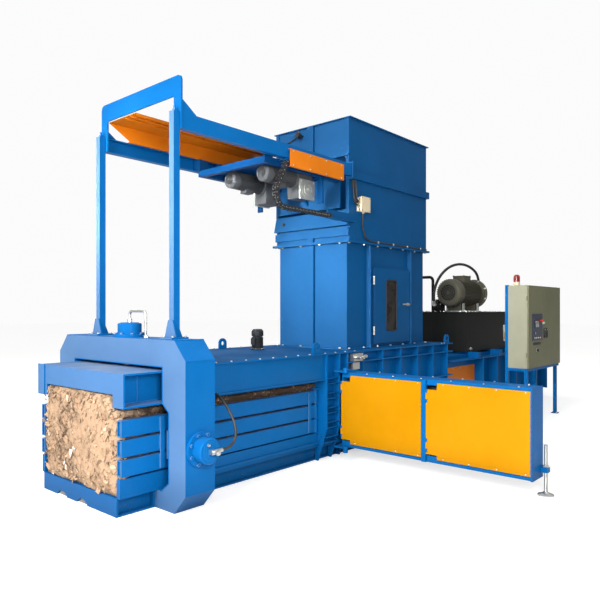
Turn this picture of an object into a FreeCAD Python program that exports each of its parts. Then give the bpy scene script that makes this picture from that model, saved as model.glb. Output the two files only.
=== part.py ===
import FreeCAD
import Part
import math
import os
import re
import Sketcher

# Horizontal recycling baler with a tension ring at the outlet, a feed tower, a needle box on
# the near side and its hydraulic unit and control cabinet at the rear.
# Millimetres.  The origin is on the floor under the middle of the feed tower, on the centreline
# of the press chamber.  +X points to the rear, -Y to the needle box, +Z up.

SIZES = {
    # press chamber and bed
    "outlet_x": 3723,
    "rear_x": 4856,
    "bed_half": 565,
    "bed_high": 140,
    "bed_flange": 14,
    "chamber_half": 560,
    "chamber_high": 755,
    "wall_half": 636,
    "rib_half": 720,
    "rib_thick": 14,
    "sill_half": 604,
    "sill_top": 284,
    "roof_top": 1093,
    "roof_thick": 15,
    "press_start": 1450,
    "press_end": 1250,
    "skirt_low": 824,
    "skirt_out": 694,
    "skirt_thick": 14,
    # tension ring
    "ring_front": 3388,
    "ring_deep": 283,
    "ring_half": 945,
    "ring_high": 1300,
    "ring_corner_y": 134,
    "ring_corner_z": 150,
    "mouth_half": 745,
    "mouth_low": 215,
    "mouth_step": 750,
    "mouth_neck": 664,
    "mouth_top": 1092,
    # side flaps of three slats and the top flap
    "slat_low": 303,
    "slat_high": 122,
    "slat_pitch": 146,
    "slat_thick": 60,
    "slat_wall": 8,
    "flap_half": 655,
    "flap_web": 528,
    "flap_plate": 14,
    "flap_low": 807,
    "flap_under": 902,
    "flap_top": 1062,
    "flap_pin_x": 1484,
    "flap_pin_z": 985,
    "slat_pin_x": 1480,
    "pin_radius": 20,
    "pin_play": 0.3,
    # tension cylinders
    "jack_radius": 100,
    "jack_cap": 118,
    "jack_flange": 135,
    "jack_flange_thick": 26,
    "jack_rod": 50,
    "jack_gap": 2,
    "side_jack_z": 483,
    "bolt_ring": 116,
    "bolt_size": 13,
    # gantry
    "post_size": 60,
    "post_y": 554,
    "post_x": 3193,
    "post_top": 3125,
    "beam_low": 2995,
    "beam_out": 590,
    "beam_flange": 62,
    "beam_web": 9,
    "portal_x": 3160,
    "portal_thick": 15,
    "portal_half": 598,
    "portal_inner": 500,
    "portal_top": 3427,
    "portal_under": 3268,
    "hood_top": 3262,
    "hood_edge": 80,
    "guard_front": 1887,
    "guard_rear": 1036,
    "guard_low": 2910,
    "guard_high": 3080,
    # feed tower
    "tower_half_x": 827,
    "tower_half_y": 505,
    "tower_wall": 8,
    "tower_joint": 2289,
    "tower_top": 3656,
    "upper_half_x": 835,
    "upper_half_y": 550,
    "flange_out": 64,
    "flange_thick": 12,
    "gate_low": 2640,
    "gate_high": 3226,
    "door_left": 345,
    "door_right": 415,
    "door_low": 1141,
    "door_high": 2025,
    "door_thick": 34,
    "window_left": 106,
    "window_right": 120,
    "window_low": 1284,
    "window_high": 1886,
    # feed trolley
    "trolley_front": 2100,
    "trolley_rear": 1190,
    "trolley_half": 490,
    "trolley_low": 2930,
    "tube_size": 60,
    "chain_low": 2516,
    "chain_bend": 124,
    "chain_pitch": 50,
    "chain_high": 44,
    "chain_y": 586,
    "chain_wide": 46,
    # needle box
    "box_front": 1309,
    "box_rear": 1059,
    "box_inner": 792,
    "box_outer": 2712,
    "box_low": 150,
    "box_high": 900,
    "panel_low": 187,
    "panel_high": 873,
    "panel_thick": 22,
    "box_post": 1731,
    "box_post_wide": 44,
    "needle_x": 1165,
    "needle_low": 217,
    "needle_pitch": 148,
    "needle_wide": 22,
    "needle_high": 30,
    "needle_tip": 712,
    "carriage_y": 2260,
    "carriage_thick": 60,
    "foot_y": 2742,
    "foot_radius": 65,
    # ram and main cylinder
    "ram_face": 830,
    "ram_long": 2100,
    "ram_half": 555,
    "ram_gap": 3,
    "ram_rod": 90,
    "barrel_radius": 165,
    "barrel_front": 2550,
    "barrel_rear": 4790,
    "barrel_z": 515,
    # rear frame and hydraulic unit
    "rear_top": 840,
    "rear_wall": 15,
    "tank_front": 1973,
    "tank_rear": 3720,
    "tank_low": 922,
    "tank_top": 1501,
    "tank_half": 565,
    "motor_y": 290,
    "motor_z": 1786,
    "motor_radius": 205,
    "motor_front": 1940,
    # control cabinet
    "cab_left": 1901,
    "cab_right": 3156,
    "cab_front": 1489,
    "cab_back": 1210,
    "cab_low": 741,
    "cab_high": 1864,
    "cab_door": 22,
}

doc = FreeCAD.newDocument("Baler")
sheet = doc.addObject("Spreadsheet::Sheet", "Sizes")
for row, (alias, value) in enumerate(SIZES.items(), 1):
    sheet.set(f"A{row}", alias)
    sheet.set(f"B{row}", str(value))
    sheet.setAlias(f"B{row}", alias)
doc.recompute()

WORD = re.compile(r"[a-z][a-z_]*")
TURN = {
    "X": FreeCAD.Rotation(FreeCAD.Vector(0, 1, 0), 90),
    "Y": FreeCAD.Rotation(FreeCAD.Vector(1, 0, 0), -90),
    "Z": FreeCAD.Rotation(),
}
PLANE = {"X": "YZ_Plane", "Y": "XZ_Plane", "Z": "XY_Plane"}
pieces = []


def bound(text):
    """The expression with each size's name pointed at its cell."""
    return WORD.sub(lambda m: f"Sizes.{m[0]}" if m[0] in SIZES else m[0], str(text))


def number(text):
    """The present value of an expression, for code that works with lengths."""
    return float(sheet.evalExpression(bound(text)))


def put(thing, at):
    """Bind where the thing stands to three expressions."""
    for corner, text in zip("xyz", at):
        thing.setExpression("Placement.Base." + corner, bound(text))
    return thing


def block(x, y, z, name="Block"):
    """A plate or bar between two planes along each axis."""
    thing = doc.addObject("Part::Box", name)
    for side, (low, high) in zip(("Length", "Width", "Height"), (x, y, z)):
        thing.setExpression(side, bound(f"({high})-({low})"))
    return put(thing, (x[0], y[0], z[0]))


def rod(axis, at, radius, reach, name="Rod"):
    """A round bar that starts at a point and runs along an axis."""
    thing = doc.addObject("Part::Cylinder", name)
    thing.setExpression("Radius", bound(radius))
    thing.setExpression("Height", bound(reach))
    thing.Placement = FreeCAD.Placement(FreeCAD.Vector(), TURN[axis])
    return put(thing, at)


def outline(body, plane, loops):
    """A sketch on a body's own plane: each loop is a list of corners or one circle."""
    sketch = body.newObject("Sketcher::SketchObject", "Outline")
    face = [f for f in body.Origin.OriginFeatures if f.Role == plane][0]
    sketch.AttachmentSupport = [(face, "")]
    sketch.MapMode = "FlatFace"
    for loop in loops:
        first = sketch.GeometryCount
        if loop[0] == "circle":
            centre = FreeCAD.Vector(number(loop[1]), number(loop[2]), 0)
            normal = FreeCAD.Vector(0, 0, 1)
            sketch.addGeometry(Part.Circle(centre, normal, number(loop[3])), False)
            marks = [(first, 3, loop[1], loop[2])]
            radius = Sketcher.Constraint("Radius", first, number(loop[3]))
            index = sketch.addConstraint(radius)
            sketch.setExpression(f"Constraints[{index}]", bound(loop[3]))
        else:
            corners = [FreeCAD.Vector(number(u), number(v), 0) for u, v in loop]
            count = len(corners)
            for i in range(count):
                line = Part.LineSegment(corners[i], corners[(i + 1) % count])
                sketch.addGeometry(line, False)
            for i in range(count):
                joined = (first + i, 2, first + (i + 1) % count, 1)
                sketch.addConstraint(Sketcher.Constraint("Coincident", *joined))
            marks = [(first + i, 1, u, v) for i, (u, v) in enumerate(loop)]
        for edge, point, u, v in marks:
            for kind, text in (("DistanceX", u), ("DistanceY", v)):
                gap = Sketcher.Constraint(kind, -1, 1, edge, point, number(text))
                index = sketch.addConstraint(gap)
                sketch.setExpression(f"Constraints[{index}]", bound(text))
    return sketch


def prism(axis, start, reach, *loops, name="Profile"):
    """A padded profile: the first loop is its outline, the others its holes."""
    body = doc.addObject("PartDesign::Body", name)
    pad = body.newObject("PartDesign::Pad", "Pad")
    pad.Profile = outline(body, PLANE[axis], loops)
    pad.setExpression("Length", bound(reach))
    pad.Reversed = axis == "Y"
    body.setExpression("Placement.Base." + axis.lower(), bound(start))
    return body


def turned(axis, at, *profile, name="Turned"):
    """A lathe part: corners are (radius, height along the axis)."""
    body = doc.addObject("PartDesign::Body", name)
    sketch = outline(body, "XZ_Plane", [profile])
    turn = body.newObject("PartDesign::Revolution", "Revolution")
    turn.Profile = sketch
    turn.ReferenceAxis = (sketch, ["V_Axis"])
    turn.Angle = 360
    body.Placement = FreeCAD.Placement(FreeCAD.Vector(), TURN[axis])
    return put(body, at)


def fused(*things, name="Fused"):
    """One shape of several."""
    if len(things) == 1:
        return things[0]
    thing = doc.addObject("Part::MultiFuse", name)
    thing.Shapes = list(things)
    return thing


def less(base, *tools, name="Cut"):
    """A shape with others taken out of it."""
    thing = doc.addObject("Part::Cut", name)
    thing.Base = base
    thing.Tool = fused(*tools)
    thing.Refine = True
    return thing


def mirrored(thing, name="Mirrored"):
    """The same shape on the other side of the centreline."""
    copy = doc.addObject("Part::Mirroring", name)
    copy.Source = thing
    copy.Normal = FreeCAD.Vector(0, 1, 0)
    return copy


def both(thing):
    """The shape and its mirror image."""
    return [thing, mirrored(thing)]


def shaped(shape, name="Shape"):
    """A shape made from the sheet's values with Part's own functions."""
    thing = doc.addObject("Part::Feature", name)
    thing.Shape = shape
    thing.Placement = FreeCAD.Placement()
    return thing


def piece(label, *things):
    """One kept piece, named by its label."""
    thing = fused(*things)
    thing.Label = label
    pieces.append(thing)
    return thing


# --- bed: base box under the chamber, sills beside the bale, crosswise stiffeners ---------------
# The outlet end shows its flanges and web as a C on each side and two half-round cut-outs.
bed_core = block(
    ("-outlet_x", "rear_x"),
    ("-bed_half+45", "bed_half-45"),
    ("0", "bed_high"),
)
bed_flanges = [
    block(("-outlet_x", "rear_x"), ("-bed_half", "bed_half"), (low, f"{low}+bed_flange"))
    for low in ("0", "bed_high-bed_flange")
]
bed_ends = [
    block((x, f"{x}+16"), ("-bed_half", "bed_half"), ("0", "bed_high"))
    for x in ("-outlet_x", "-ring_front-16", "-ring_front+ring_deep", "rear_x-16")
]
sill = block(
    ("-ring_front-330", "-press_start"),
    ("-sill_half", "-chamber_half"),
    ("bed_high", "sill_top"),
)
ledge = block(
    ("-ring_front+ring_deep", "-press_start"),
    ("-sill_half-18", "-sill_half"),
    ("172", "195"),
)
bed_notches = [rod("X", ("-outlet_x-1", y, "-58"), "100", "18") for y in ("-70", "250")]
bed = fused(bed_core, *bed_flanges, *bed_ends, *both(sill), *both(ledge))
piece("bed_frame", less(bed, *bed_notches))

# --- tension ring: box frame round the flaps, with bores for the three cylinders ------------------
ring_outer = [
    ("-ring_half+ring_corner_y", "0"),
    ("ring_half-ring_corner_y", "0"),
    ("ring_half", "ring_corner_z"),
    ("ring_half", "ring_high-ring_corner_z"),
    ("ring_half-ring_corner_y", "ring_high"),
    ("-ring_half+ring_corner_y", "ring_high"),
    ("-ring_half", "ring_high-ring_corner_z"),
    ("-ring_half", "ring_corner_z"),
]
ring_mouth = [
    ("-mouth_half+100", "bed_high"),
    ("mouth_half-100", "bed_high"),
    ("mouth_half", "mouth_low"),
    ("mouth_half", "mouth_step"),
    ("mouth_neck", "mouth_step+66"),
    ("mouth_neck", "mouth_top"),
    ("-mouth_neck", "mouth_top"),
    ("-mouth_neck", "mouth_step+66"),
    ("-mouth_half", "mouth_step"),
    ("-mouth_half", "mouth_low"),
]
ring_mid = "-ring_front+ring_deep/2"
ring_body = prism("X", "-ring_front", "ring_deep", ring_outer, ring_mouth)
ring_slot = block(
    ("-ring_front-1", "-ring_front+ring_deep+1"),
    ("-bed_half-pin_play", "bed_half+pin_play"),
    ("-1", "bed_high+1"),
)
ring_bores = [
    rod("Z", (ring_mid, "0", "mouth_top-5"), "jack_radius-16", "ring_high-mouth_top+10"),
    rod("Y", (ring_mid, "-ring_half-5", "side_jack_z"), "jack_radius-16", "2*ring_half+10"),
]
piece("tension_ring", less(ring_body, ring_slot, *ring_bores))

# --- tension cylinders: flange, barrel in the ring, cap outside, each with its own rod ------------


def tension_jack(axis, at, wall):
    """Flanged barrel seated in a bore of the ring, with its closed cap outside."""
    profile = [
        ("jack_rod+pin_play", f"-({wall})"),
        ("jack_radius-16-pin_play", f"-({wall})"),
        ("jack_radius-16-pin_play", "0"),
        ("jack_flange", "0"),
        ("jack_flange", "jack_flange_thick"),
        ("jack_radius", "jack_flange_thick"),
        ("jack_radius", "jack_cap-8"),
        ("jack_radius-8", "jack_cap"),
        ("0", "jack_cap"),
        ("0", "jack_cap-20"),
        ("jack_rod+pin_play", "jack_cap-20"),
    ]
    return turned(axis, at, *profile)


def hexagon(axis, at, size, reach):
    """A hexagon bolt head across its corners, lying along an axis."""
    head = doc.addObject("Part::Prism", "Head")
    head.Polygon = 6
    head.setExpression("Circumradius", bound(size))
    head.setExpression("Height", bound(reach))
    head.Placement = FreeCAD.Placement(FreeCAD.Vector(), TURN[axis])
    return put(head, at)


def bolt_circle(axis, at):
    """Eight heads on a cylinder's flange; the circle lies across the axis."""
    heads = []
    for k in range(8):
        u = f"bolt_ring*cos({22.5 + 45 * k})"
        v = f"bolt_ring*sin({22.5 + 45 * k})"
        if axis == "Z":
            spot = (f"{at[0]}+{u}", f"{at[1]}+{v}", at[2])
        else:
            spot = (f"{at[0]}+{u}", at[1], f"{at[2]}+{v}")
        heads.append(hexagon(axis, spot, "bolt_size", "12"))
    return heads


top_jack = tension_jack("Z", (ring_mid, "0", "ring_high"), "ring_high-mouth_top")
side_at = (ring_mid, "ring_half", "side_jack_z")
side_jacks = both(tension_jack("Y", side_at, "ring_half-mouth_half"))
piece("tension_jacks", top_jack, *side_jacks)
pad_out = "chamber_half+slat_thick+70"
piece(
    "rod_top",
    rod("Z", (ring_mid, "0", "flap_top+jack_gap"), "jack_rod", "ring_high+jack_cap-60-flap_top"),
)
side_rods = both(
    rod(
        "Y",
        (ring_mid, pad_out + "+jack_gap", "side_jack_z"),
        "jack_rod",
        f"ring_half+jack_cap-60-({pad_out})",
    )
)
piece("rod_far", side_rods[0])
piece("rod_near", side_rods[1])
top_bolts = bolt_circle("Z", (ring_mid, "0", "ring_high+jack_flange_thick"))
far_bolts = bolt_circle("Y", (ring_mid, "ring_half+jack_flange_thick", "side_jack_z"))
near_bolts = [mirrored(bolt) for bolt in far_bolts]
piece("jack_bolts", *top_bolts, *far_bolts, *near_bolts)

# --- side flaps: three hollow slats on knuckles, joined by straps and a pad for the rod -----------
slat_back = "-slat_pin_x-44"
slat_face = "-(chamber_half+slat_thick)"
slats = []
for k in range(3):
    low = f"slat_low+{k}*slat_pitch"
    high = f"slat_low+{k}*slat_pitch+slat_high"
    skin = [
        (slat_face, low),
        ("-chamber_half", low),
        ("-chamber_half", high),
        (slat_face, high),
    ]
    hollow = [
        (slat_face + "+slat_wall", low + "+slat_wall"),
        ("-chamber_half-slat_wall", low + "+slat_wall"),
        ("-chamber_half-slat_wall", high + "-slat_wall"),
        (slat_face + "+slat_wall", high + "-slat_wall"),
    ]
    slat = prism("X", "-outlet_x+7", f"outlet_x-7+({slat_back})", skin, hollow)
    slats.append(slat)
    neck = block(
        (slat_back, "-slat_pin_x"),
        (slat_face + "+14", "-chamber_half-14"),
        (low + "+2", high + "-2"),
    )
    eye = rod("Z", ("-slat_pin_x", f"{slat_face}+slat_thick/2", low + "+2"), "27", "slat_high-4")
    slats += [neck, eye]
slat_span = ("slat_low+10", "slat_low+2*slat_pitch+slat_high-10")
straps = [
    block((start, f"{start}+34"), (slat_face + "-14", slat_face), slat_span)
    for start in ("-outlet_x+343", "-slat_pin_x-140")
]
pad = block(
    (f"{ring_mid}-75", f"{ring_mid}+75"),
    ("-(" + pad_out + ")", slat_face),
    ("side_jack_z-110", "side_jack_z+110"),
)
pad_bar = block((f"{ring_mid}-40", f"{ring_mid}+40"), (slat_face + "-40", slat_face), slat_span)
pin_bore = rod(
    "Z",
    ("-slat_pin_x", f"{slat_face}+slat_thick/2", "slat_low-30"),
    "pin_radius+pin_play",
    "3*slat_pitch+60",
)
flap_near = less(fused(*slats, *straps, pad, pad_bar), pin_bore)
piece("side_flap_near", flap_near)
piece("side_flap_far", mirrored(flap_near))

# --- top flap: deep box beam with a channel down each side, hinged at its rear ---------------------
flap_section = [
    ("-flap_half", "flap_top"),
    ("flap_half", "flap_top"),
    ("flap_half", "flap_top-flap_plate"),
    ("flap_web", "flap_top-flap_plate"),
    ("flap_web", "flap_low+flap_plate"),
    ("flap_half", "flap_low+flap_plate"),
    ("flap_half", "flap_low"),
    ("flap_web-flap_plate", "flap_low"),
    ("flap_web-flap_plate", "flap_under"),
    ("-flap_web+flap_plate", "flap_under"),
    ("-flap_web+flap_plate", "flap_low"),
    ("-flap_half", "flap_low"),
    ("-flap_half", "flap_low+flap_plate"),
    ("-flap_web", "flap_low+flap_plate"),
    ("-flap_web", "flap_top-flap_plate"),
    ("-flap_half", "flap_top-flap_plate"),
]
flap_face = [
    ("-flap_half", "flap_top"),
    ("flap_half", "flap_top"),
    ("flap_half", "flap_low"),
    ("flap_web", "flap_low"),
    ("flap_web", "flap_under"),
    ("-flap_web", "flap_under"),
    ("-flap_web", "flap_low"),
    ("-flap_half", "flap_low"),
]
flap_back = "-flap_pin_x-46"
flap_beam = prism("X", "-outlet_x", f"outlet_x+({flap_back})", flap_section)
flap_plate_front = prism("X", "-outlet_x", "flap_plate", flap_face)
flap_eyes = []
for y in ("-430", "-30", "370"):
    flap_eyes.append(
        block((flap_back, "-flap_pin_x"), (y, y + "+60"), ("flap_pin_z-34", "flap_pin_z+34"))
    )
    flap_eyes.append(rod("Y", ("-flap_pin_x", y, "flap_pin_z"), "34", "60"))
flap_bore = rod("Y", ("-flap_pin_x", "-flap_half", "flap_pin_z"), "pin_radius+pin_play", "2*flap_half")
piece("top_flap", less(fused(flap_beam, flap_plate_front, *flap_eyes), flap_bore))

# --- chamber roof: plate with the tower's opening, side skirts, ceiling, shear bar, lifting lugs --
roof_plate = prism(
    "Z",
    "roof_top-roof_thick",
    "roof_thick",
    [
        ("-ring_front+ring_deep", "-rib_half"),
        ("press_end", "-rib_half"),
        ("press_end", "rib_half"),
        ("-ring_front+ring_deep", "rib_half"),
    ],
    [
        ("-tower_half_x+tower_wall", "-tower_half_y+tower_wall"),
        ("tower_half_x-tower_wall", "-tower_half_y+tower_wall"),
        ("tower_half_x-tower_wall", "tower_half_y-tower_wall"),
        ("-tower_half_x+tower_wall", "tower_half_y-tower_wall"),
    ],
)
skirt = block(
    ("-ring_front+ring_deep", "-press_start"),
    ("-skirt_out", "-skirt_out+skirt_thick"),
    ("skirt_low", "roof_top-roof_thick"),
)
skirt_lip = block(
    ("-ring_front+ring_deep", "-press_start"),
    ("-skirt_out-12", "-skirt_out"),
    ("skirt_low", "skirt_low+14"),
)
ceiling_low = "bed_high+chamber_high"
ceilings = [
    block(
        (start, end),
        ("-chamber_half", "chamber_half"),
        (ceiling_low, "roof_top-roof_thick"),
    )
    for start, end in (
        ("-press_start+rib_thick", "-tower_half_x"),
        ("tower_half_x+20", "press_end"),
    )
]
flap_lugs = []
for y in ("-480", "-365", "-80", "35", "320", "435"):
    lug = block(
        ("-flap_pin_x-24", "-press_start+rib_thick"),
        (y, y + "+45"),
        ("flap_pin_z-30", "roof_top-roof_thick"),
    )
    flap_lugs.append(lug)
lug_bore = rod("Y", ("-flap_pin_x", "-flap_half", "flap_pin_z"), "pin_radius", "2*flap_half")


def lifting_lug(x, y):
    """A lifting eye that stands on the roof plate, facing along the machine."""
    plate = block((x, x + "+110"), (y + "-10", y + "+10"), ("roof_top", "roof_top+60"))
    crown = rod("Y", (x + "+55", y + "-10", "roof_top+60"), "55", "20")
    return less(fused(plate, crown), rod("Y", (x + "+55", y + "-12", "roof_top+58"), "24", "24"))


lifting = [
    lifting_lug("-press_start-190", "-rib_half+25"),
    lifting_lug("-press_start-190", "rib_half-25"),
    lifting_lug("press_end-190", "-rib_half+25"),
    lifting_lug("press_end-190", "rib_half-25"),
]
roof_solid = fused(roof_plate, *both(skirt), *both(skirt_lip), *ceilings, *flap_lugs, *lifting)
piece("chamber_roof", less(roof_solid, lug_bore))

# --- tie columns and chamber walls: tapered plates, guide shelves and five needle slots a side ----
column_plate = [
    ("-bed_half", "0"),
    ("-bed_half-40", "0"),
    ("-rib_half", "330"),
    ("-rib_half", "roof_top-roof_thick"),
    ("-chamber_half", "roof_top-roof_thick"),
    ("-chamber_half", "bed_high"),
    ("-bed_half", "bed_high"),
]
column_starts = ["-press_start", "-press_start+210", "-press_start+350"]
columns = [prism("X", start, "rib_thick", column_plate) for start in column_starts]
chamber_wall = block(
    ("-press_start+rib_thick", "press_end"),
    ("-wall_half", "-chamber_half"),
    ("bed_high", "roof_top-roof_thick"),
)
shelves = []
for k in range(5):
    for side in ("-31", "23"):
        low = f"needle_low+{k}*needle_pitch+{side}"
        shelf = block(
            ("-press_start+rib_thick", "-press_start+210"),
            ("-rib_half+8", "-wall_half"),
            (low, low + "+8"),
        )
        shelves.append(shelf)
ribs = []
for k in range(6):
    start = f"-823+{k}*383"
    rib = block(
        (start, start + "+rib_thick"),
        ("-rib_half", "-wall_half"),
        ("bed_high", "roof_top-roof_thick"),
    )
    ribs.append(rib)
flange_span = ("-press_start+364", "press_end")
flanges = [
    block(flange_span, ("-rib_half", "-wall_half"), (low, low + "+14"))
    for low in ("972", "660", "300", "bed_high")
]
slat_lugs = []
for low, high in (
    ("sill_top", "slat_low-2"),
    ("slat_low+slat_high+2", "slat_low+slat_pitch-2"),
    ("slat_low+slat_pitch+slat_high+2", "slat_low+2*slat_pitch-2"),
    ("slat_low+2*slat_pitch+slat_high+2", "slat_low+2*slat_pitch+slat_high+24"),
):
    slat_lugs.append(
        block(("-slat_pin_x-27", "-press_start"), (slat_face + "+3", "-chamber_half-3"), (low, high))
    )
needle_slots = [
    block(
        ("-needle_x-27", "-needle_x+27"),
        ("-wall_half-1", "-chamber_half+1"),
        (f"needle_low+{k}*needle_pitch-23", f"needle_low+{k}*needle_pitch+23"),
    )
    for k in range(5)
]
pin_hole = rod(
    "Z",
    ("-slat_pin_x", f"{slat_face}+slat_thick/2", "bed_high"),
    "pin_radius",
    "roof_top-bed_high",
)
wall_solid = fused(*columns, chamber_wall, *shelves, *ribs, *flanges, *slat_lugs)
wall_near = less(wall_solid, *needle_slots, pin_hole)
piece("chamber_wall_near", wall_near)
piece("chamber_wall_far", mirrored(wall_near))

slat_pin = rod(
    "Z",
    ("-slat_pin_x", f"{slat_face}+slat_thick/2", "sill_top"),
    "pin_radius",
    "2*slat_pitch+slat_high+slat_low+24-sill_top",
)
flap_pin = rod("Y", ("-flap_pin_x", "-490", "flap_pin_z"), "pin_radius", "980")
piece("hinge_pins", *both(slat_pin), flap_pin)

# --- pressed paper in the channel, squeezed narrower between the top flap's webs -------------------
bale_front = "-outlet_x-24"
bale_back = "-press_start+184"
bale_section = [
    ("-chamber_half+30", "bed_high"),
    ("chamber_half-30", "bed_high"),
    ("chamber_half-6", "bed_high+40"),
    ("chamber_half-6", "flap_low-30"),
    ("flap_web-flap_plate-5", "flap_low-2"),
    ("flap_web-flap_plate-5", "flap_under-20"),
    ("flap_web-flap_plate-40", "flap_under-8"),
    ("-flap_web+flap_plate+40", "flap_under-8"),
    ("-flap_web+flap_plate+5", "flap_under-20"),
    ("-flap_web+flap_plate+5", "flap_low-2"),
    ("-chamber_half+6", "flap_low-30"),
    ("-chamber_half+6", "bed_high+40"),
]
piece("paper_bale", prism("X", bale_front, f"{bale_back}-({bale_front})", bale_section))

# --- ram: box body with five needle slots through its nose, open tail round the barrel ------------
ram_low = "bed_high+ram_gap"
ram_high = "bed_high+chamber_high-ram_gap"
ram_body = block(("ram_face", "ram_face+ram_long"), ("-ram_half", "ram_half"), (ram_low, ram_high))
ram_tail = block(
    ("ram_face+ram_long-450", "ram_face+ram_long+1"),
    ("-ram_half+20", "ram_half-20"),
    (ram_low + "+20", ram_high + "-20"),
)
ram_slots = [
    block(
        ("ram_face-1", "ram_face+170"),
        ("-ram_half-1", "ram_half+1"),
        (f"needle_low+{k}*needle_pitch-23", f"needle_low+{k}*needle_pitch+23"),
    )
    for k in range(5)
]
piece("ram", less(ram_body, ram_tail, *ram_slots))
rod_start = "ram_face+ram_long-450"
rod_flange = rod("X", (rod_start, "0", "barrel_z"), "ram_rod+45", "30")
rod_bar = rod("X", (rod_start + "+30", "0", "barrel_z"), "ram_rod", f"barrel_rear-50-({rod_start}+30)")
piece("ram_rod", rod_flange, rod_bar)
barrel = turned(
    "X",
    ("barrel_front", "0", "barrel_z"),
    ("ram_rod+pin_play", "0"),
    ("barrel_radius+25", "0"),
    ("barrel_radius+25", "110"),
    ("barrel_radius", "125"),
    ("barrel_radius", "barrel_rear-barrel_front-60"),
    ("barrel_radius+55", "barrel_rear-barrel_front-60"),
    ("barrel_radius+55", "barrel_rear-barrel_front"),
    ("0", "barrel_rear-barrel_front"),
    ("0", "barrel_rear-barrel_front-30"),
    ("ram_rod+pin_play", "barrel_rear-barrel_front-30"),
)
piece("main_cylinder", barrel)

# --- rear frame: side plates, top flanges, posts and the crosshead behind the main cylinder -------
rear_side = block(
    ("press_end", "rear_x"),
    ("-chamber_half-rear_wall", "-chamber_half"),
    ("bed_high", "rear_top"),
)
rear_flange = block(
    ("press_end", "rear_x"),
    ("-rib_half", "-chamber_half-rear_wall"),
    ("rear_top-14", "rear_top"),
)
rear_ribs = [
    block(
        (start, start + "+rib_thick"),
        ("-rib_half", "-chamber_half-rear_wall"),
        ("bed_high", "rear_top-14"),
    )
    for start in ("press_end+957", "press_end+1440", "press_end+2180", "press_end+2920", "rear_x-14")
]
crosshead = block(
    ("barrel_rear", "rear_x"),
    ("-chamber_half", "chamber_half"),
    ("bed_high", "rear_top"),
)
saddle = block(
    ("barrel_front+400", "barrel_front+460"),
    ("-chamber_half", "chamber_half"),
    ("bed_high", "barrel_z"),
)
saddle_seat = rod("X", ("barrel_front+399", "0", "barrel_z"), "barrel_radius", "62")
tank_feet = []
for start in ("tank_front+60", "tank_front+820", "tank_rear-150"):
    reach = (start, start + "+90")
    bridge_low = "bed_high+chamber_high+4"
    tank_feet.append(block(reach, ("-rib_half", "rib_half"), (bridge_low, "tank_low")))
    tank_feet += both(block(reach, ("-rib_half", "-chamber_half"), ("rear_top", bridge_low)))
rear_solid = fused(
    *both(rear_side),
    *both(rear_flange),
    *[half for rib in rear_ribs for half in both(rib)],
    crosshead,
    saddle,
    *tank_feet,
)
piece("rear_frame", less(rear_solid, saddle_seat))
rear_guard = block(
    ("press_end+12", "press_end+945"),
    ("-chamber_half-rear_wall-8", "-chamber_half-rear_wall"),
    ("300", "735"),
)
piece("rear_guards", *both(rear_guard))

# --- gantry: two posts on the ring, portal plate, two channel beams back to the tower -------------
post_span_x = ("-post_x-post_size/2", "-post_x+post_size/2")
post = block(
    post_span_x,
    ("-post_y-post_size/2", "-post_y+post_size/2"),
    ("ring_high+14", "post_top"),
)
post_base = block(
    ("-post_x-85", "-post_x+80"),
    ("-post_y-80", "-post_y+80"),
    ("ring_high", "ring_high+14"),
)
foot_gusset = prism(
    "X",
    "-post_x-post_size/2-12",
    "12",
    [
        ("-post_y-72", "ring_high+14"),
        ("-post_y+72", "ring_high+14"),
        ("-post_y+post_size/2", "ring_high+150"),
        ("-post_y-post_size/2", "ring_high+150"),
    ],
)
foot_web = prism(
    "Y",
    "-post_y-6",
    "12",
    [
        ("-post_x+post_size/2", "ring_high+14"),
        ("-post_x+75", "ring_high+14"),
        ("-post_x+post_size/2", "ring_high+120"),
    ],
)
stud = rod("Z", ("-post_x", "-post_y", "post_top"), "11", "46")
nut = hexagon("Z", ("-post_x", "-post_y", "post_top"), "20", "18")
piece("gantry_posts", *both(fused(post, post_base, foot_gusset, foot_web, stud, nut)))

portal = prism(
    "X",
    "-portal_x",
    "portal_thick",
    [
        ("-portal_half", "beam_low"),
        ("-portal_inner", "beam_low"),
        ("-portal_inner", "portal_under"),
        ("portal_inner", "portal_under"),
        ("portal_inner", "beam_low"),
        ("portal_half", "beam_low"),
        ("portal_half", "portal_top-42"),
        ("portal_half-12", "portal_top-12"),
        ("portal_half-42", "portal_top"),
        ("-portal_half+42", "portal_top"),
        ("-portal_half+12", "portal_top-12"),
        ("-portal_half", "portal_top-42"),
    ],
)
portal_back = "-portal_x+portal_thick"
portal_gusset = prism(
    "Y",
    "-beam_out",
    "10",
    [
        (portal_back, "post_top"),
        (portal_back + "+150", "post_top"),
        (portal_back, "post_top+110"),
    ],
)

beam_section = [
    ("-beam_out", "beam_low"),
    ("-beam_out+beam_flange", "beam_low"),
    ("-beam_out+beam_flange", "beam_low+beam_web"),
    ("-beam_out+beam_web", "beam_low+beam_web"),
    ("-beam_out+beam_web", "post_top-beam_web"),
    ("-beam_out+beam_flange", "post_top-beam_web"),
    ("-beam_out+beam_flange", "post_top"),
    ("-beam_out", "post_top"),
]
beam = prism("X", portal_back, f"-upper_half_x-14-({portal_back})", beam_section)
piece("gantry_bridge", portal, *both(portal_gusset), *both(beam))

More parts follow.
